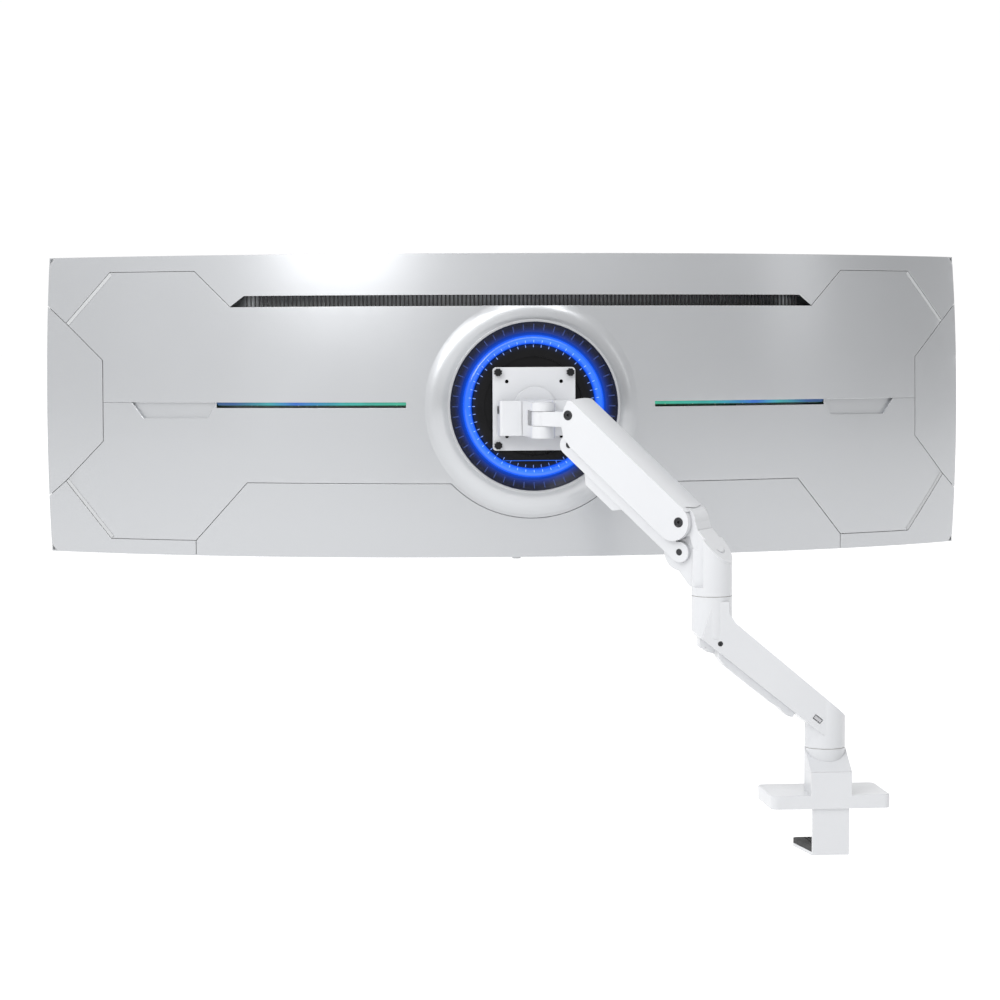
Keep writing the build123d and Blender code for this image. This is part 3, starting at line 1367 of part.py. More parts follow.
# ports and jog button in the bottom edge
INLET_X = -120.0
INLET_W, INLET_H, INLET_DEEP = 25.0, 16.5, 15.0
PORTS_X = 60.0
PORT_W, PORT_H, PORT_DEEP = 15.4, 5.6, 11.0
PORT_PITCH, PORT_COUNT = 24.0, 4
SOCKET_WALL = 3.0             # plastic round the inlet and the ports
BEZEL = 1.5                   # cover's openings, larger than the sockets in all
JOG_X = -20.0
JOG_R = 6.0
JOG_FLANGE = 2.0              # flange that keeps the button in
JOG_FLANGE_T = 1.5
JOG_TRAVEL = 1.2
JOG_PROUD = 3.0
BOTTOM = -HALF_HEIGHT + WALL  # inner face of the bottom wall


def bottom_place(x):
    """Middle of the bottom wall between screen and rear face, at a distance from the middle."""
    near = sqrt(CASE_NEAR**2 - x**2) - SCREEN_R
    far = sqrt((REAR_R - crown(HALF_HEIGHT))**2 - x**2) - REAR_CENTRE
    return (x, -(near + far) / 2)


PORTS_Y = bottom_place(PORTS_X)[1]
PORT_ROW = [(PORTS_X + PORT_PITCH * (i - (PORT_COUNT - 1) / 2), PORTS_Y) for i in range(PORT_COUNT)]
with BuildPart() as lower_cover:
    add(cut_panel(COVER_OUTLINE, hub=-1).part)
    with BuildSketch(level(-HALF_HEIGHT - 1)):
        with Locations(bottom_place(INLET_X)):
            Rectangle(INLET_W + BEZEL, INLET_H + BEZEL)
        with Locations(*PORT_ROW):
            Rectangle(PORT_W + BEZEL, PORT_H + BEZEL)
        with Locations((JOG_X, PORTS_Y)):
            Circle(JOG_R + GAP)
    extrude(amount=WALL + 2, mode=Mode.SUBTRACT)
save(lower_cover, "lower_cover")

with BuildPart() as power_inlet:
    with BuildSketch(level(BOTTOM)):
        with Locations(bottom_place(INLET_X)):
            Rectangle(INLET_W + 2 * SOCKET_WALL, INLET_H + SOCKET_WALL)
    extrude(amount=INLET_DEEP + SOCKET_WALL)
    with BuildSketch(level(BOTTOM)):
        with Locations(bottom_place(INLET_X)):
            Rectangle(INLET_W, INLET_H)
    extrude(amount=INLET_DEEP, mode=Mode.SUBTRACT)
save(power_inlet, "power_inlet")

SOCKET_LOW = JOG_X
SOCKET_HIGH = PORT_ROW[-1][0] + PORT_W / 2 + SOCKET_WALL
with BuildPart() as port_block:
    with BuildSketch(level(BOTTOM)):
        with Locations(((SOCKET_LOW + SOCKET_HIGH) / 2, PORTS_Y)):
            Rectangle(SOCKET_HIGH - SOCKET_LOW, PORT_H + 2 * SOCKET_WALL)
        with Locations((JOG_X, PORTS_Y)):
            Circle(JOG_R + JOG_FLANGE + SOCKET_WALL)
    extrude(amount=PORT_DEEP + SOCKET_WALL)
    with BuildSketch(level(BOTTOM)):
        with Locations(*PORT_ROW):
            Rectangle(PORT_W, PORT_H)
    extrude(amount=PORT_DEEP, mode=Mode.SUBTRACT)
    with BuildSketch(level(BOTTOM)):
        with Locations((JOG_X, PORTS_Y)):
            Circle(JOG_R + JOG_FLANGE + GAP)
    extrude(amount=GAP + JOG_FLANGE_T + JOG_TRAVEL + GAP, mode=Mode.SUBTRACT)
save(port_block, "port_block")

with BuildPart() as jog_button:
    with BuildSketch(level(-HALF_HEIGHT - JOG_PROUD)):
        with Locations((JOG_X, PORTS_Y)):
            Circle(JOG_R)
    extrude(amount=JOG_PROUD + WALL + GAP)
    fillet(jog_button.edges().group_by(Axis.Z)[0], 1.5)
    with BuildSketch(level(BOTTOM + GAP)):
        with Locations((JOG_X, PORTS_Y)):
            Circle(JOG_R + JOG_FLANGE)
    extrude(amount=JOG_FLANGE_T)
save(jog_button, "jog_button")

# ================================================================ display: vent, hub and lights
FIN_PITCH, FIN_T = 5.6, 1.7
VENT_MID = (VENT_LOW[1] + VENT_HIGH[1]) / 2
FIN_COUNT = int(2 * VENT_HIGH[0] / FIN_PITCH)
with BuildPart() as vent_grille:
    with BuildSketch(behind(-300)):
        with Locations((0, VENT_MID)):
            with GridLocations(FIN_PITCH, 1, FIN_COUNT, 1):
                Rectangle(FIN_T, VENT_HIGH[1] - VENT_LOW[1])
        with Locations((0, VENT_HIGH[1] + 1), (0, VENT_LOW[1] - 1)):
            Rectangle(2 * VENT_HIGH[0], 2.2)
    extrude(amount=400)
    add(rear_body(WALL + RUN), mode=Mode.INTERSECT)
    add(rear_body(WALL + 5), mode=Mode.SUBTRACT)
save(vent_grille, "vent_grille")

HUB_AXIS = Axis(behind(0).from_local_coords(Vector(0, HUB_Z, 0)), behind(0).z_dir)


def hub_ring(profile):
    """Round piece about the hub; the profile gives radius and depth behind the screen."""
    with BuildPart() as ring:
        with BuildSketch(in_display(Plane.YZ)):
            with BuildLine():
                Polyline(*[(-depth, HUB_Z + radius) for radius, depth in profile], close=True)
            make_face()
        revolve(axis=HUB_AXIS)
    return ring


TUBE_DEPTH = HUB_RIM - 9.0
LED_BOARD_T = 1.6
STRIP_BOARD_DEPTH = 7.5       # light boards behind the bars, below the rear face
hub_cone = hub_ring(
    [
        (HUB_R - 0.6, HUB_RIM - 0.4),
        (CONE_IN_R, TUBE_DEPTH - 1),
        (CONE_IN_R, TUBE_DEPTH - TUBE_HALF - 1),
        (DISC_R + 0.3, TUBE_DEPTH - TUBE_HALF - 1),
        (DISC_R + 0.3, TUBE_DEPTH - TUBE_HALF - 2.5),
        (CONE_IN_R + 2, TUBE_DEPTH - TUBE_HALF - 2.5),
        (CONE_IN_R + 2, TUBE_DEPTH - 3),
        (HUB_R - 0.6, HUB_RIM - 3.0),
    ]
)
save(hub_cone, "hub_cone")

with BuildPart() as light_ring:
    with BuildSketch(in_display(Plane.YZ)):
        with Locations((-TUBE_DEPTH, HUB_Z + TUBE_R)):
            Circle(TUBE_HALF)
    revolve(axis=HUB_AXIS)
save(light_ring, "light_ring")

DISC_PROFILE = [
    (0, TUBE_DEPTH - 2),
    (DISC_STEP_R, TUBE_DEPTH - 2),
    (DISC_STEP_R, TUBE_DEPTH + 1),
    (DISC_R - 1.5, TUBE_DEPTH + 1),
    (DISC_R, TUBE_DEPTH - 0.5),
    (DISC_R, TUBE_DEPTH - 8),
    (0, TUBE_DEPTH - 8),
]
BOSS_POST_R = 6.5
with BuildPart() as hub_disc:
    add(hub_ring(DISC_PROFILE).part)
    with BuildSketch(behind(TUBE_DEPTH - 3)):
        with Locations((0, HUB_Z - DISC_CHORD - 10)):
            Rectangle(2 * DISC_R, 20)
    extrude(amount=10, mode=Mode.SUBTRACT)
    with BuildSketch(behind(TUBE_DEPTH - 10)):
        with Locations((0, PLATE_Z)):
            with GridLocations(VESA, VESA, 2, 2):
                Circle(BOSS_POST_R + RUN)
    extrude(amount=20, mode=Mode.SUBTRACT)
save(hub_disc, "hub_disc")

with BuildPart() as light_boards:
    with BuildSketch(behind(TUBE_DEPTH - TUBE_HALF - 4.5)):
        with Locations((0, HUB_Z)):
            Circle(CONE_IN_R)
            Circle(DISC_R + 1, mode=Mode.SUBTRACT)
    extrude(amount=LED_BOARD_T)
    for side in (1, -1):
        add(skin(flip(LIGHT, side), STRIP_BOARD_DEPTH, STRIP_BOARD_DEPTH + LED_BOARD_T, 1.5).part)
save(light_boards, "light_boards")

# ================================================================ display: inside
BRACKET_DEPTH = 38.0
with BuildPart() as vesa_bracket:
    with BuildSketch(behind(BRACKET_DEPTH)):
        with Locations((0, PLATE_Z)):
            RectangleRounded(240, 150, 8)
    extrude(amount=2)
    with BuildSketch(behind(BRACKET_DEPTH + 2)):
        with Locations((0, PLATE_Z)):
            with GridLocations(VESA, VESA, 2, 2):
                Circle(BOSS_POST_R)
    extrude(amount=HUB_FACE - BRACKET_DEPTH - 2)
    with BuildSketch(behind(HUB_FACE)):
        with Locations((0, PLATE_Z)):
            with GridLocations(VESA, VESA, 2, 2):
                Circle(POST_HOLE_R)
    extrude(amount=-STUD_LENGTH - 2, mode=Mode.SUBTRACT)
    # legs down to the backlight tray
    with BuildSketch(behind(12)):
        with Locations((0, PLATE_Z)):
            with GridLocations(220, 130, 2, 2):
                Rectangle(14, 14)
    extrude(amount=BRACKET_DEPTH - 12)
    add(
        screen_sector(SCREEN_R - 60, SCREEN_R + 9.2, arc_to(SCREEN_ANGLE), HALF_HEIGHT),
        mode=Mode.SUBTRACT,
    )
save(vesa_bracket, "vesa_bracket")

GLASS_T, SHEET_T, BOARD_T = 2.4, 1.5, 1.6
TRAY_BACK = SCREEN_R + 9.2
OPENING = HALF_HEIGHT - RIM
with BuildPart() as front_frame:
    add(screen_sector(SCREEN_R - 0.8, SCREEN_R + FRAME_DEPTH, arc_to(SCREEN_ANGLE), HALF_HEIGHT))
    add(
        screen_sector(SCREEN_R - 5, SCREEN_R + FRAME_DEPTH + 5, arc_to(arc_inset(RIM)), OPENING),
        mode=Mode.SUBTRACT,
    )
save(front_frame, "front_frame")

INSIDE = RIM + RUN
with BuildPart() as lcd_panel:
    add(screen_sector(SCREEN_R, SCREEN_R + GLASS_T, arc_to(arc_inset(INSIDE)), HALF_HEIGHT - INSIDE))
save(lcd_panel, "lcd_panel")

with BuildPart() as backlight_tray:
    add(screen_sector(SCREEN_R + GLASS_T + RUN, TRAY_BACK, arc_to(arc_inset(INSIDE)), HALF_HEIGHT - INSIDE))
    add(
        screen_sector(
            SCREEN_R,
            TRAY_BACK - 1.2,
            arc_to(arc_inset(INSIDE + 1.5)),
            HALF_HEIGHT - INSIDE - 1.5,
        ),
        mode=Mode.SUBTRACT,
    )
save(backlight_tray, "backlight_tray")

IN_TRAY = INSIDE + 1.5 + GAP
with BuildPart() as diffuser_sheets:
    near = SCREEN_R + GLASS_T + 2 * RUN
    add(screen_sector(near, near + SHEET_T, arc_to(arc_inset(IN_TRAY)), HALF_HEIGHT - IN_TRAY))
save(diffuser_sheets, "diffuser_sheets")

with BuildPart() as led_backlight:
    far = TRAY_BACK - 1.2 - RUN
    add(screen_sector(far - BOARD_T, far, arc_to(arc_inset(IN_TRAY)), HALF_HEIGHT - IN_TRAY))
save(led_backlight, "led_backlight")

BOARD_NEAR = SCREEN_R + 17.0
with BuildPart() as main_board:
    add(screen_sector(BOARD_NEAR, BOARD_NEAR + BOARD_T, (-5.2, 5.2), 55))
save(main_board, "main_board")

with BuildPart() as heat_sink:
    with BuildSketch(behind(BOARD_NEAR + BOARD_T + 1 - SCREEN_R)):
        Rectangle(90, 60)
    extrude(amount=3)
    with BuildSketch(behind(BOARD_NEAR + BOARD_T + 4 - SCREEN_R)):
        with GridLocations(6, 1, 14, 1):
            Rectangle(1.5, 60)
    extrude(amount=10)
save(heat_sink, "heat_sink")

with BuildPart() as power_board:
    add(screen_sector(BOARD_NEAR, BOARD_NEAR + BOARD_T, (8.5, 17.0), 65))
    for angle, size, height in ((10.5, 1.2, 30), (13.5, 0.9, -20), (15.5, 0.7, 25)):
        add(screen_sector(BOARD_NEAR + BOARD_T, BOARD_NEAR + 16, (angle - size, angle + size), 18, height))
save(power_board, "power_board")
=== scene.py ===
"""Looks of the curved monitor on its desk-clamp arm.  Metres, in the CAD model's frame."""
import json
from math import cos, pi, radians, sin

import bmesh
import bpy
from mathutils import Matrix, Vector


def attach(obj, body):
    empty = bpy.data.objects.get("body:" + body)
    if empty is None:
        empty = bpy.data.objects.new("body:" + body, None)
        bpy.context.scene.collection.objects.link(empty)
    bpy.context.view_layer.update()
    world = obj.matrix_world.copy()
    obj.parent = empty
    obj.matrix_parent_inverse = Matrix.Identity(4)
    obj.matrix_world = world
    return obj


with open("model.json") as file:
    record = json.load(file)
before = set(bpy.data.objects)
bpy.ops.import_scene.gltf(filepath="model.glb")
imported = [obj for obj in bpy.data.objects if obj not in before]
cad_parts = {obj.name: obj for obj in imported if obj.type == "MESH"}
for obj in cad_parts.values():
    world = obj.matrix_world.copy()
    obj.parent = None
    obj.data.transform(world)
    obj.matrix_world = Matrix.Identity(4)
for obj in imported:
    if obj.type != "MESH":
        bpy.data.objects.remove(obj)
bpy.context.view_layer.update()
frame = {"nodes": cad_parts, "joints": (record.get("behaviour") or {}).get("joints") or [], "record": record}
NODES = frame["nodes"]
JOINTS = {j["name"]: j for j in frame["joints"]}
MM = 0.001

# ---------------------------------------------------------------- places
BACK = Vector(JOINTS["plate_roll"]["axis"]).normalized()
UP = Vector(JOINTS["jog_press"]["axis"]).normalized()
PLATE = Vector(JOINTS["plate_roll"]["pos_m"])
PLATE_DEPTH, PLATE_DROP, HUB_DROP = 66 * MM, 4.5 * MM, 1 * MM     # from the middle of the screen
SCREEN = PLATE - BACK * PLATE_DEPTH + UP * PLATE_DROP
HUB = SCREEN - UP * HUB_DROP
LEAN = radians(-2.0)
SWING = Vector(JOINTS["arm_lift"]["axis"]).normalized()
ELBOW_PIVOT = Vector(JOINTS["arm_lift"]["pos_m"])
HEAD_PIVOT = Vector(JOINTS["head_level"]["pos_m"])


# ---------------------------------------------------------------- material nodes
class Shade:
    """A Principled material with short calls for the nodes that feed it."""

    def __init__(self, name, **values):
        self.material = bpy.data.materials.new(name)
        self.material.use_nodes = True
        self.tree = self.material.node_tree
        self.shader = self.tree.nodes["Principled BSDF"]
        for socket, value in values.items():
            self.shader.inputs[socket.replace("_", " ")].default_value = value

    def node(self, kind, links=None, **values):
        made = self.tree.nodes.new(kind)
        for key, value in values.items():
            setattr(made, key, value)
        for socket, source in (links or {}).items():
            self.put(made.inputs[socket], source)
        return made

    def put(self, socket, source):
        if hasattr(source, "is_output"):
            self.tree.links.new(source, socket)
        else:
            socket.default_value = source

    def math(self, operation, a, b=0.0, clamp=False):
        return self.node("ShaderNodeMath", {0: a, 1: b}, operation=operation, use_clamp=clamp).outputs[0]

    def mix(self, factor, a, b):
        made = self.node("ShaderNodeMix", data_type="RGBA")
        for socket, source in ((0, factor), (6, a), (7, b)):
            self.put(made.inputs[socket], source)
        return made.outputs[2]

    def place(self, scale=(1, 1, 1)):
        """Object coordinates in the row frame, stretched by a scale."""
        spot = self.node("ShaderNodeTexCoord").outputs["Object"]
        return self.node("ShaderNodeMapping", {"Vector": spot, "Scale": scale}).outputs[0]

    def local(self, origin, lean=LEAN):
        """Coordinates about a place on the display: across, forward, up."""
        spot = self.node("ShaderNodeTexCoord").outputs["Object"]
        links = {"Vector": spot, "Location": origin, "Rotation": (lean, 0, 0)}
        moved = self.node("ShaderNodeMapping", links, vector_type="TEXTURE").outputs[0]
        return self.node("ShaderNodeSeparateXYZ", {0: moved}).outputs

    def noise(self, scale, detail=3.0, rough=0.55, stretch=(1, 1, 1)):
        links = {"Vector": self.place(stretch), "Scale": scale, "Detail": detail, "Roughness": rough}
        return self.node("ShaderNodeTexNoise", links).outputs["Fac"]

    def ramp(self, factor, stops):
        made = self.node("ShaderNodeValToRGB", {"Fac": factor})
        points = made.color_ramp.elements
        while len(points) < len(stops):
            points.new(0.5)
        for point, (where, colour) in zip(points, stops):
            point.position = where
            point.color = (*colour, 1) if len(colour) == 3 else colour
        return made.outputs["Color"]

    def span(self, value, low, high, to_low=0.0, to_high=1.0):
        links = {0: value, 1: low, 2: high, 3: to_low, 4: to_high}
        return self.node("ShaderNodeMapRange", links).outputs[0]

    def edges(self, radius):
        """Normal with rounded edges, and a mask that is 1 along them."""
        soft = self.node("ShaderNodeBevel", {"Radius": radius}, samples=4).outputs[0]
        flat = self.node("ShaderNodeNewGeometry").outputs["True Normal"]
        agree = self.node("ShaderNodeVectorMath", {0: soft, 1: flat}, operation="DOT_PRODUCT")
        return soft, self.span(self.math("SUBTRACT", 1.0, agree.outputs["Value"]), 0.02, 0.22)

    def bump(self, height, distance, normal=None, strength=1.0):
        links = {"Height": height, "Distance": distance, "Strength": strength}
        if normal is not None:
            links["Normal"] = normal
        return self.node("ShaderNodeBump", links).outputs[0]

    def colour(self, source):
        self.put(self.shader.inputs["Base Color"], source)

    def rough(self, source):
        self.put(self.shader.inputs["Roughness"], source)

    def normal(self, source):
        self.put(self.shader.inputs["Normal"], source)

    def glow(self, colour, strength):
        self.put(self.shader.inputs["Emission Color"], colour)
        self.put(self.shader.inputs["Emission Strength"], strength)


def rgba(r, g, b):
    return (r, g, b, 1.0)


def tint(colour, factor):
    return rgba(*(min(1.0, c * factor) for c in colour))


def painted(
    name,
    colour,
    rough,
    edge=None,
    grain=700.0,
    depth=0.00003,
    radius=0.0008,
    patch=9.0,
    soil=0.04,
    vary=0.15,
    **values,
):
    """Sprayed or moulded surface: slight patches, fine grain, and edges painted lighter as a highlight,
    broken up in places by wear.
    """
    s = Shade(name, **values)
    soft, rim = s.edges(radius)
    body = s.mix(s.noise(patch, 4.0), tint(colour, 0.965), tint(colour, 1.03))
    marks = s.span(s.noise(260.0, 6.0, 0.7), 0.55, 0.85)
    body = s.mix(s.math("MULTIPLY", marks, soil), body, tint(colour, 0.80))
    if edge:
        # painted highlight: edges take the lighter edge colour, in patches broken up by wear noise
        edge_highlight_and_wear = s.math("MULTIPLY", rim, s.span(s.noise(140.0, 3.0), 0.30, 0.62, 0.45, 1.0))
        body = s.mix(edge_highlight_and_wear, body, rgba(*edge))
    s.colour(body)
    s.rough(s.span(s.noise(patch * 4, 5.0), 0.25, 0.75, rough * (1 - vary), rough * (1 + vary)))
    s.normal(s.bump(s.noise(grain, 2.0), depth, soft))
    return s


def brushed(name, colour, rough, stretch, **values):
    """Metal with fine lines along one direction, edges painted brighter as a highlight, and a dull film."""
    s = Shade(name, Metallic=1.0, **values)
    soft, rim = s.edges(0.0005)
    lines = s.noise(260.0, 3.0, 0.6, stretch)
    body = s.mix(lines, tint(colour, 0.80), tint(colour, 1.12))
    film = s.span(s.noise(22.0, 5.0), 0.48, 0.72)
    body = s.mix(s.math("MULTIPLY", film, 0.35), body, tint(colour, 0.55))
    # painted highlight: edges take a brighter tint of the metal
    s.colour(s.mix(rim, body, tint(colour, 1.25)))
    s.rough(s.math("ADD", s.math("MULTIPLY", lines, 0.22), rough - 0.08))
    s.normal(s.bump(lines, 0.00002, soft))
    return s


WHITE = (0.64, 0.65, 0.67)
arm_white = painted(
    "arm_white",
    WHITE,
    0.33,
    edge=(0.93, 0.935, 0.94),
    Coat_Weight=0.25,
    Coat_Roughness=0.18,
)
silver = painted(
    "silver_panel",
    (0.545, 0.557, 0.575),
    0.30,
    edge=(0.80, 0.81, 0.82),
    grain=1500.0,
    depth=0.00001,
    radius=0.0009,
    patch=2.0,
    soil=0.01,
    vary=0.05,
    Coat_Weight=0.35,
    Coat_Roughness=0.12,
    Metallic=0.6,
)
strip_grey = painted("corner_strip", (0.50, 0.51, 0.52), 0.45, grain=900.0, radius=0.0005)
black_plastic = painted(
    "black_plastic",
    (0.006, 0.006, 0.007),
    0.5,
    edge=(0.03, 0.03, 0.033),
    grain=900.0,
    Specular_IOR_Level=0.3,
)
dark_screw = painted(
    "dark_screw",
    (0.045, 0.046, 0.05),
    0.34,
    edge=(0.16, 0.16, 0.17),
    radius=0.0004,
    Metallic=0.6,
)
bearing = painted("bearing_plastic", (0.66, 0.65, 0.61), 0.38, radius=0.0004)
film_white = painted("film_white", (0.86, 0.865, 0.87), 0.55, grain=2500.0, radius=0.0003)
steel = brushed("brushed_steel", (0.60, 0.60, 0.62), 0.30, (1, 1, 14))
zinc = brushed("zinc_sheet", (0.62, 0.64, 0.66), 0.36, (5, 1, 1))
aluminium = brushed("bare_aluminium", (0.74, 0.75, 0.77), 0.32, (1, 9, 1))


def make_rubber():
    """Black rubber with a little dust in its grain."""
    s = painted("black_rubber", (0.018, 0.018, 0.019), 0.62, grain=1600.0, depth=0.00006, radius=0.0006)
    dust = s.span(s.noise(45.0, 6.0, 0.7), 0.45, 0.75)
    s.colour(s.mix(s.math("MULTIPLY", dust, 0.5), rgba(0.016, 0.016, 0.017), rgba(0.06, 0.058, 0.055)))
    return s


def make_foam():
    """Closed-cell foam."""
    s = Shade("foam_pad")
    cells = s.node("ShaderNodeTexVoronoi", {"Vector": s.place(), "Scale": 1300.0}).outputs["Distance"]
    s.colour(s.mix(cells, rgba(0.09, 0.09, 0.095), rgba(0.17, 0.17, 0.175)))
    s.rough(s.span(s.noise(40.0), 0.3, 0.7, 0.78, 0.95))
    s.normal(s.bump(cells, 0.00015))
    return s


def make_screen():
    """Black panel with the finest trace of its cells and a satin anti-glare face."""
    s = Shade("screen_face", Specular_IOR_Level=0.45, Coat_Weight=0.15, Coat_Roughness=0.3)
    cells = s.node("ShaderNodeTexVoronoi", {"Vector": s.place(), "Scale": 2400.0}, distance="CHEBYCHEV")
    haze = s.noise(5.0, 3.0)
    s.colour(s.mix(haze, rgba(0.008, 0.009, 0.012), rgba(0.013, 0.014, 0.018)))
    s.rough(s.span(s.noise(12.0, 5.0), 0.3, 0.7, 0.22, 0.30))
    s.normal(s.bump(cells.outputs["Distance"], 0.000008))
    return s


def make_board():
    """Circuit board: solder mask, copper runs, pads and vias."""
    s = Shade("circuit_board", Coat_Weight=0.4, Coat_Roughness=0.15)
    bricks = s.node("ShaderNodeTexBrick", {"Vector": s.place(), "Scale": 90.0, "Mortar Size": 0.06})
    runs = bricks.outputs["Fac"]
    vias = s.node("ShaderNodeTexVoronoi", {"Vector": s.place(), "Scale": 210.0}).outputs["Distance"]
    dots = s.span(vias, 0.16, 0.12)
    base = s.mix(s.noise(30.0), rgba(0.008, 0.07, 0.03), rgba(0.014, 0.11, 0.045))
    base = s.mix(s.math("MULTIPLY", runs, 0.7), base, rgba(0.03, 0.20, 0.08))
    s.colour(s.mix(dots, base, rgba(0.72, 0.66, 0.42)))
    s.rough(s.span(s.noise(80.0), 0.3, 0.7, 0.30, 0.45))
    s.normal(s.bump(runs, 0.00005))
    return s


rubber, foam, screen_face, board = make_rubber(), make_foam(), make_screen(), make_board()

# ---------------------------------------------------------------- hub: ticks and glow
TICKS = 48
TUBE_R, TUBE_HALF = 91.6 * MM, 6.2 * MM
BLUE = (0.010, 0.135, 0.95)


def polar_parts(s):
    """Radius and tick phase about the hub's axis."""
    x, _, z = s.local(HUB)
    radius = s.math("SQRT", s.math("ADD", s.math("POWER", x, 2.0), s.math("POWER", z, 2.0)))
    turn = s.math("MULTIPLY", s.math("ARCTAN2", z, x), TICKS / (2 * pi))
    phase = s.math("ABSOLUTE", s.math("SUBTRACT", s.math("FRACT", s.math("ADD", turn, 10.5)), 0.5))
    return x, z, radius, phase


def band(s, value, low, high, soft):
    """1 between two limits, with soft ends."""
    rise = s.span(value, low - soft, low + soft)
    fall = s.span(value, high - soft, high + soft, 1.0, 0.0)
    return s.math("MULTIPLY", rise, fall)


def tick_lines(s, radius, phase, core, fade, inner, outer, soft):
    """Radial lines between two radii; core and fade are shares of the tick's pitch."""
    lines = s.span(phase, core, fade, 1.0, 0.0)
    return s.math("MULTIPLY", lines, band(s, radius, inner, outer, soft))


def make_cone():
    """Dark glossy cone round the ring, with faint tick lines; the ring's light on it is painted as a blue
    glow fading outward from the ring, with a faint painted glow over the whole cone.
    """
    s = Shade("hub_cone", Specular_IOR_Level=0.25, Coat_Weight=0.2, Coat_Roughness=0.08)
    _, _, radius, phase = polar_parts(s)
    tick = tick_lines(s, radius, phase, 0.035, 0.06, 0.1045, 0.1125, 0.0004)
    haze = s.noise(14.0, 4.0)
    base = s.mix(haze, rgba(0.0015, 0.002, 0.005), rgba(0.003, 0.004, 0.009))
    s.colour(s.mix(tick, base, rgba(0.03, 0.045, 0.11)))
    # painted light: the ring's glow on the cone, strongest next to the ring and gone by its outer edge; the
    # ticks and the whole cone glow faintly too
    near = s.math("POWER", s.span(radius, 0.0980, 0.1120, 1.0, 0.0), 2.2)
    painted_ring_glow = s.math("ADD", s.math("MULTIPLY", near, 0.85), s.math("MULTIPLY", tick, 0.10))
    s.glow(rgba(0.006, 0.07, 0.62), s.math("ADD", painted_ring_glow, 0.022))
    s.rough(s.span(s.noise(50.0, 4.0), 0.3, 0.7, 0.16, 0.26))
    s.normal(s.bump(tick, -0.0002, s.edges(0.0006)[0]))
    return s


def make_tube():
    """Glowing acrylic tube: a brighter core, which also stands in as a painted highlight along the tube, and
    the tick lines that show in it.
    """
    s = Shade("light_tube", Coat_Weight=0.5, Coat_Roughness=0.05)
    _, _, radius, phase = polar_parts(s)
    aside = s.math("ABSOLUTE", s.math("SUBTRACT", radius, TUBE_R))
    # brighter core of the glow: partly the tube's own light, partly a painted highlight along its middle
    heart = s.math("POWER", s.span(aside, 0.0, TUBE_HALF, 1.0, 0.0), 0.7)
    tick = tick_lines(s, radius, phase, 0.02, 0.05, 0.0875, 0.0905, 0.0006)
    deep = s.mix(heart, rgba(0.004, 0.055, 0.55), rgba(*BLUE))
    body = s.mix(tick, deep, rgba(0.30, 0.55, 1.0))
    s.colour(rgba(0.01, 0.05, 0.32))
    streak = s.span(s.noise(7.0, 2.0), 0.25, 0.75, 0.85, 1.25)
    s.glow(body, streak)
    s.rough(s.span(s.noise(60.0), 0.3, 0.7, 0.10, 0.18))
    return s


def make_disc():
    """Black plate behind the mount: satin face, glossy step, tick lines, a painted blue glow along the chord
    edge and a faint painted glow of the ring's light towards its rim.
    """
    s = Shade("hub_disc", Specular_IOR_Level=0.2, Coat_Weight=0.08, Coat_Roughness=0.2)
    _, z, radius, phase = polar_parts(s)
    tick = tick_lines(s, radius, phase, 0.03, 0.055, 0.0808, 0.0846, 0.0003)
    face = s.mix(s.noise(18.0, 4.0), rgba(0.002, 0.002, 0.0025), rgba(0.004, 0.004, 0.005))
    s.colour(s.mix(tick, face, rgba(0.25, 0.33, 0.5)))
    # painted light: a blue glow along the chord edge, and a faint glow rising towards the ring at the rim
    chord = band(s, z, -0.0752, -0.0742, 0.0002)
    rim = s.math("POWER", s.span(radius, 0.0740, 0.0850), 3.0)
    lit = s.math("ADD", s.math("MULTIPLY", chord, 0.9), s.math("MULTIPLY", rim, 0.06))
    s.glow(rgba(0.02, 0.16, 0.95), s.math("ADD", lit, s.math("MULTIPLY", tick, 0.45)))
    s.rough(s.span(s.noise(45.0, 5.0), 0.3, 0.7, 0.26, 0.42))
    s.normal(s.edges(0.0005)[0])
    return s


def make_bars():
    """Light strip: green at the inner end, through blue, to dark outward."""
    s = Shade("light_bar", Coat_Weight=0.3, Coat_Roughness=0.1)
    x, _, _ = s.local(HUB)
    along = s.span(s.math("ABSOLUTE", x), 0.173, 0.545)
    stops = [
        (0.0, (0.03, 0.36, 0.20)),
        (0.22, (0.02, 0.34, 0.30)),
        (0.40, (0.015, 0.10, 0.50)),
        (0.50, (0.03, 0.30, 0.32)),
        (0.62, (0.010, 0.05, 0.22)),
        (0.78, (0.004, 0.012, 0.05)),
        (1.0, (0.002, 0.003, 0.008)),
    ]
    shade = s.ramp(along, stops)
    s.glow(shade, s.span(s.noise(30.0, 2.0), 0.3, 0.7, 0.9, 1.15))
    s.colour(rgba(0.02, 0.05, 0.06))
    s.rough(s.span(s.noise(70.0), 0.3, 0.7, 0.18, 0.28))
    return s


cone, tube, disc, bars = make_cone(), make_tube(), make_disc(), make_bars()

SLOT_MATERIAL = {
    "white_paint": arm_white,
    "silver_plastic": silver,
    "grey_plastic": strip_grey,
    "black_plastic": black_plastic,
    "black_gloss": cone,
    "screen": screen_face,
    "steel": steel,
    "dark_screw": dark_screw,
    "bearing_plastic": bearing,
    "black_rubber": rubber,
    "foam_grey": foam,
    "ring_light": tube,
    "bar_light": bars,
    "circuit_board": board,
    "bare_aluminium": aluminium,
    "film_white": film_white,
    "zinc_sheet": zinc,
}
NODE_MATERIAL = {"hub_disc": disc, "front_frame": silver}
for part in frame["record"]["subparts"]:
    node = NODES[part["node"]]
    chosen = NODE_MATERIAL.get(part["node"], SLOT_MATERIAL[part["material_slot"]])
    node.data.materials.clear()
    node.data.materials.append(chosen.material)


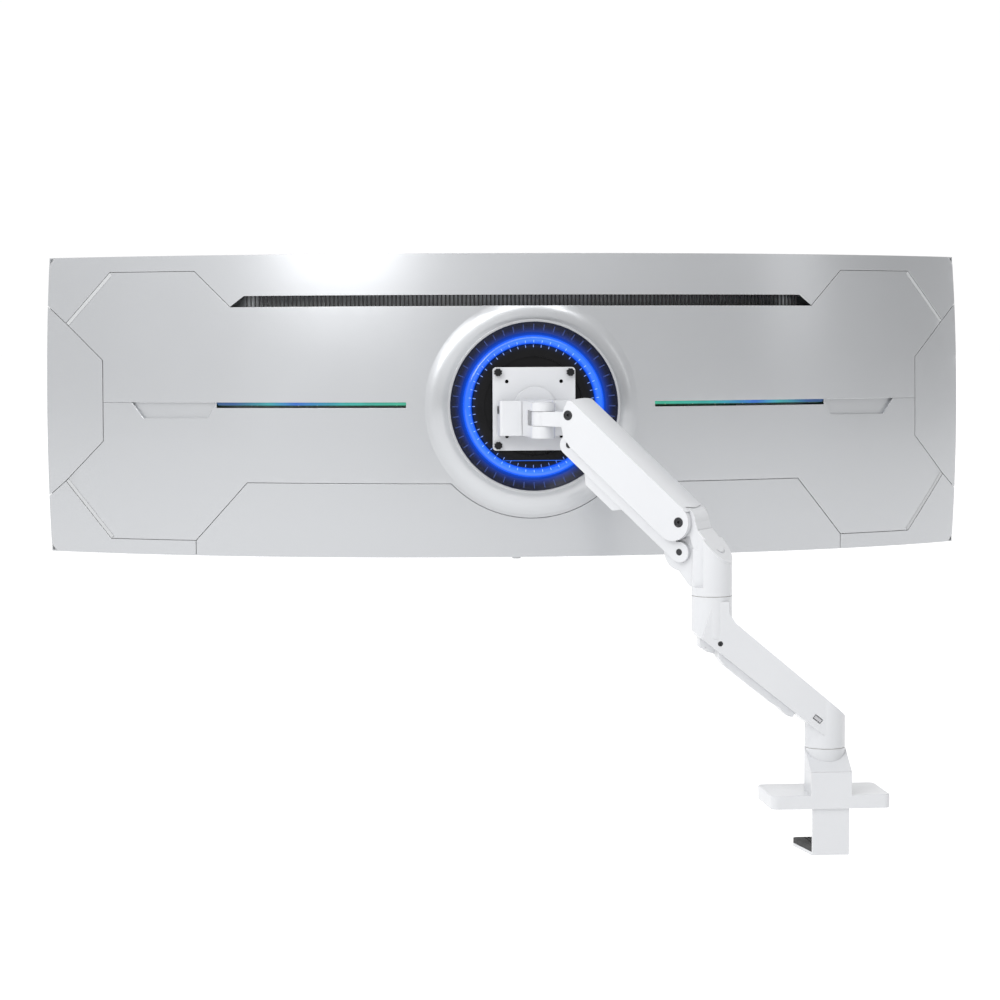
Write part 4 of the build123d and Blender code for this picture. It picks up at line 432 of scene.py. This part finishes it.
# ---------------------------------------------------------------- small pieces
def piece(name, mesh, body, shade, smooth=True):
    """Adds a finished mesh as one piece of the object."""
    data = bpy.data.meshes.new(name)
    mesh.to_mesh(data)
    mesh.free()
    made = bpy.data.objects.new(name, data)
    bpy.context.scene.collection.objects.link(made)
    data.materials.append(shade.material)
    if smooth:
        data.shade_smooth()
        made.modifiers.new("edges", "EDGE_SPLIT").split_angle = radians(35)
    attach(made, body)
    return made


def turned(mesh, profile, centre, axis, steps=48):
    """Closed ring or button of revolution; the profile gives radius and height along the axis."""
    axis = axis.normalized()
    side = axis.orthogonal().normalized()
    other = axis.cross(side)
    rings = []
    for i in range(steps):
        turn = 2 * pi * i / steps
        out = side * cos(turn) + other * sin(turn)
        rings.append([mesh.verts.new(centre + out * r * MM + axis * h * MM) for r, h in profile])
    for i in range(steps):
        here, there = rings[i], rings[(i + 1) % steps]
        for j in range(len(profile)):
            k = (j + 1) % len(profile)
            mesh.faces.new((here[j], here[k], there[k], there[j]))
    bmesh.ops.recalc_face_normals(mesh, faces=mesh.faces)


WASHER_R, WASHER_WIDTH, WASHER_SUNK, WASHER_RISE = 6.6, 1.7, 0.2, 0.6
CHEEK_REACH = 29.0            # arm's cheek from the middle of the arm


def pivot_trim(name, centre, axis, body, outer, reach):
    """Dark dished washer round a pivot's head, on both cheeks."""
    for side, label in ((1, "a"), (-1, "b")):
        mesh = bmesh.new()
        face = centre + axis * side * reach * MM
        inner = outer - WASHER_WIDTH
        rim = [
            (inner, -WASHER_SUNK),
            (outer, -WASHER_SUNK),
            (outer, 0.35),
            (outer - 0.35, WASHER_RISE),
            (inner + 0.4, WASHER_RISE),
            (inner, 0.25),
        ]
        turned(mesh, rim, face, axis * side)
        piece(f"{name}_washer_{label}", mesh, body, dark_screw)


pivot_trim("elbow_pivot", ELBOW_PIVOT, SWING, "spring_arm", WASHER_R, CHEEK_REACH)
pivot_trim("head_pivot", HEAD_PIVOT, SWING, "spring_arm", WASHER_R, CHEEK_REACH)

# ---------------------------------------------------------------- floor, light and camera
FLOOR_LEVEL, FLOOR_HALF = -0.80, 30.0
floor_mesh = bmesh.new()
bmesh.ops.create_grid(floor_mesh, x_segments=1, y_segments=1, size=FLOOR_HALF)
floor_data = bpy.data.meshes.new("floor")
floor_mesh.to_mesh(floor_data)
floor_mesh.free()
floor = bpy.data.objects.new("floor", floor_data)
floor.location = (0, 6, FLOOR_LEVEL)
bpy.context.scene.collection.objects.link(floor)
pale = Shade("floor")
pale.colour(rgba(0.92, 0.92, 0.92))
pale.shader.inputs["Roughness"].default_value = 0.9
pale.glow(rgba(1, 1, 1), 0.40)
floor_data.materials.append(pale.material)

world = bpy.data.worlds.new("studio")
world.use_nodes = True
sky = world.node_tree


def slope(source, low, high, to_low=0.0, to_high=1.0):
    """Map Range node of the studio's surroundings."""
    made = sky.nodes.new("ShaderNodeMapRange")
    for index, value in enumerate((low, high, to_low, to_high), 1):
        made.inputs[index].default_value = value
    sky.links.new(source, made.inputs[0])
    return made.outputs[0]


heading = sky.nodes.new("ShaderNodeTexCoord")
parts = sky.nodes.new("ShaderNodeSeparateXYZ")
sky.links.new(heading.outputs["Generated"], parts.inputs[0])
# brighter above and to the left, and even ahead of the camera
near = sky.nodes.new("ShaderNodeMath")
near.operation = "MULTIPLY"
sky.links.new(slope(parts.outputs["Z"], -0.25, 0.40, 0.16, 0.90), near.inputs[0])
sky.links.new(slope(parts.outputs["X"], -0.8, 0.8, 1.20, 0.60), near.inputs[1])
level = sky.nodes.new("ShaderNodeMix")
level.inputs[3].default_value = 1.02
sky.links.new(slope(parts.outputs["Y"], 0.2, 0.6), level.inputs[0])
sky.links.new(near.outputs[0], level.inputs[2])
sky.links.new(level.outputs[0], sky.nodes["Background"].inputs["Strength"])
sky.nodes["Background"].inputs["Color"].default_value = rgba(1, 1, 1)
bpy.context.scene.world = world


def lamp(name, place, size, power, target):
    """Rectangular lamp turned to a place."""
    light = bpy.data.lights.new(name, "AREA")
    light.shape, light.size, light.size_y = "RECTANGLE", size[0], size[1]
    light.energy = power
    made = bpy.data.objects.new(name, light)
    made.location = place
    made.rotation_mode = "QUATERNION"
    made.rotation_quaternion = (Vector(target) - Vector(place)).to_track_quat("-Z", "Y")
    bpy.context.scene.collection.objects.link(made)


lamp("key", (-1.55, -1.35, 1.55), (0.9, 0.7), 15, SCREEN + Vector((-0.25, 0, 0.05)))
lamp("top", (-0.45, -0.75, 1.75), (1.9, 0.4), 8, SCREEN + Vector((0, 0, 0.1)))
lamp("rim", (2.8, -1.2, 1.6), (0.8, 1.6), 3, SCREEN)

camera = bpy.data.objects.new("camera", bpy.data.cameras.new("camera"))
CAMERA_TURN, CAMERA_DIP = radians(6.73), radians(4.5)
CAMERA_FROM_SCREEN = Vector((-0.62435, -4.96101, 0.26071))
LENS = 129.8
camera.location = SCREEN + CAMERA_FROM_SCREEN
look = Vector((sin(CAMERA_TURN) * cos(CAMERA_DIP), cos(CAMERA_TURN) * cos(CAMERA_DIP), -sin(CAMERA_DIP)))
camera.rotation_mode = "QUATERNION"
camera.rotation_quaternion = look.to_track_quat("-Z", "Y")
camera.data.lens = LENS
camera.data.clip_end = 100.0
bpy.context.scene.collection.objects.link(camera)
bpy.context.scene.camera = camera
bpy.context.scene.view_settings.view_transform = "Standard"
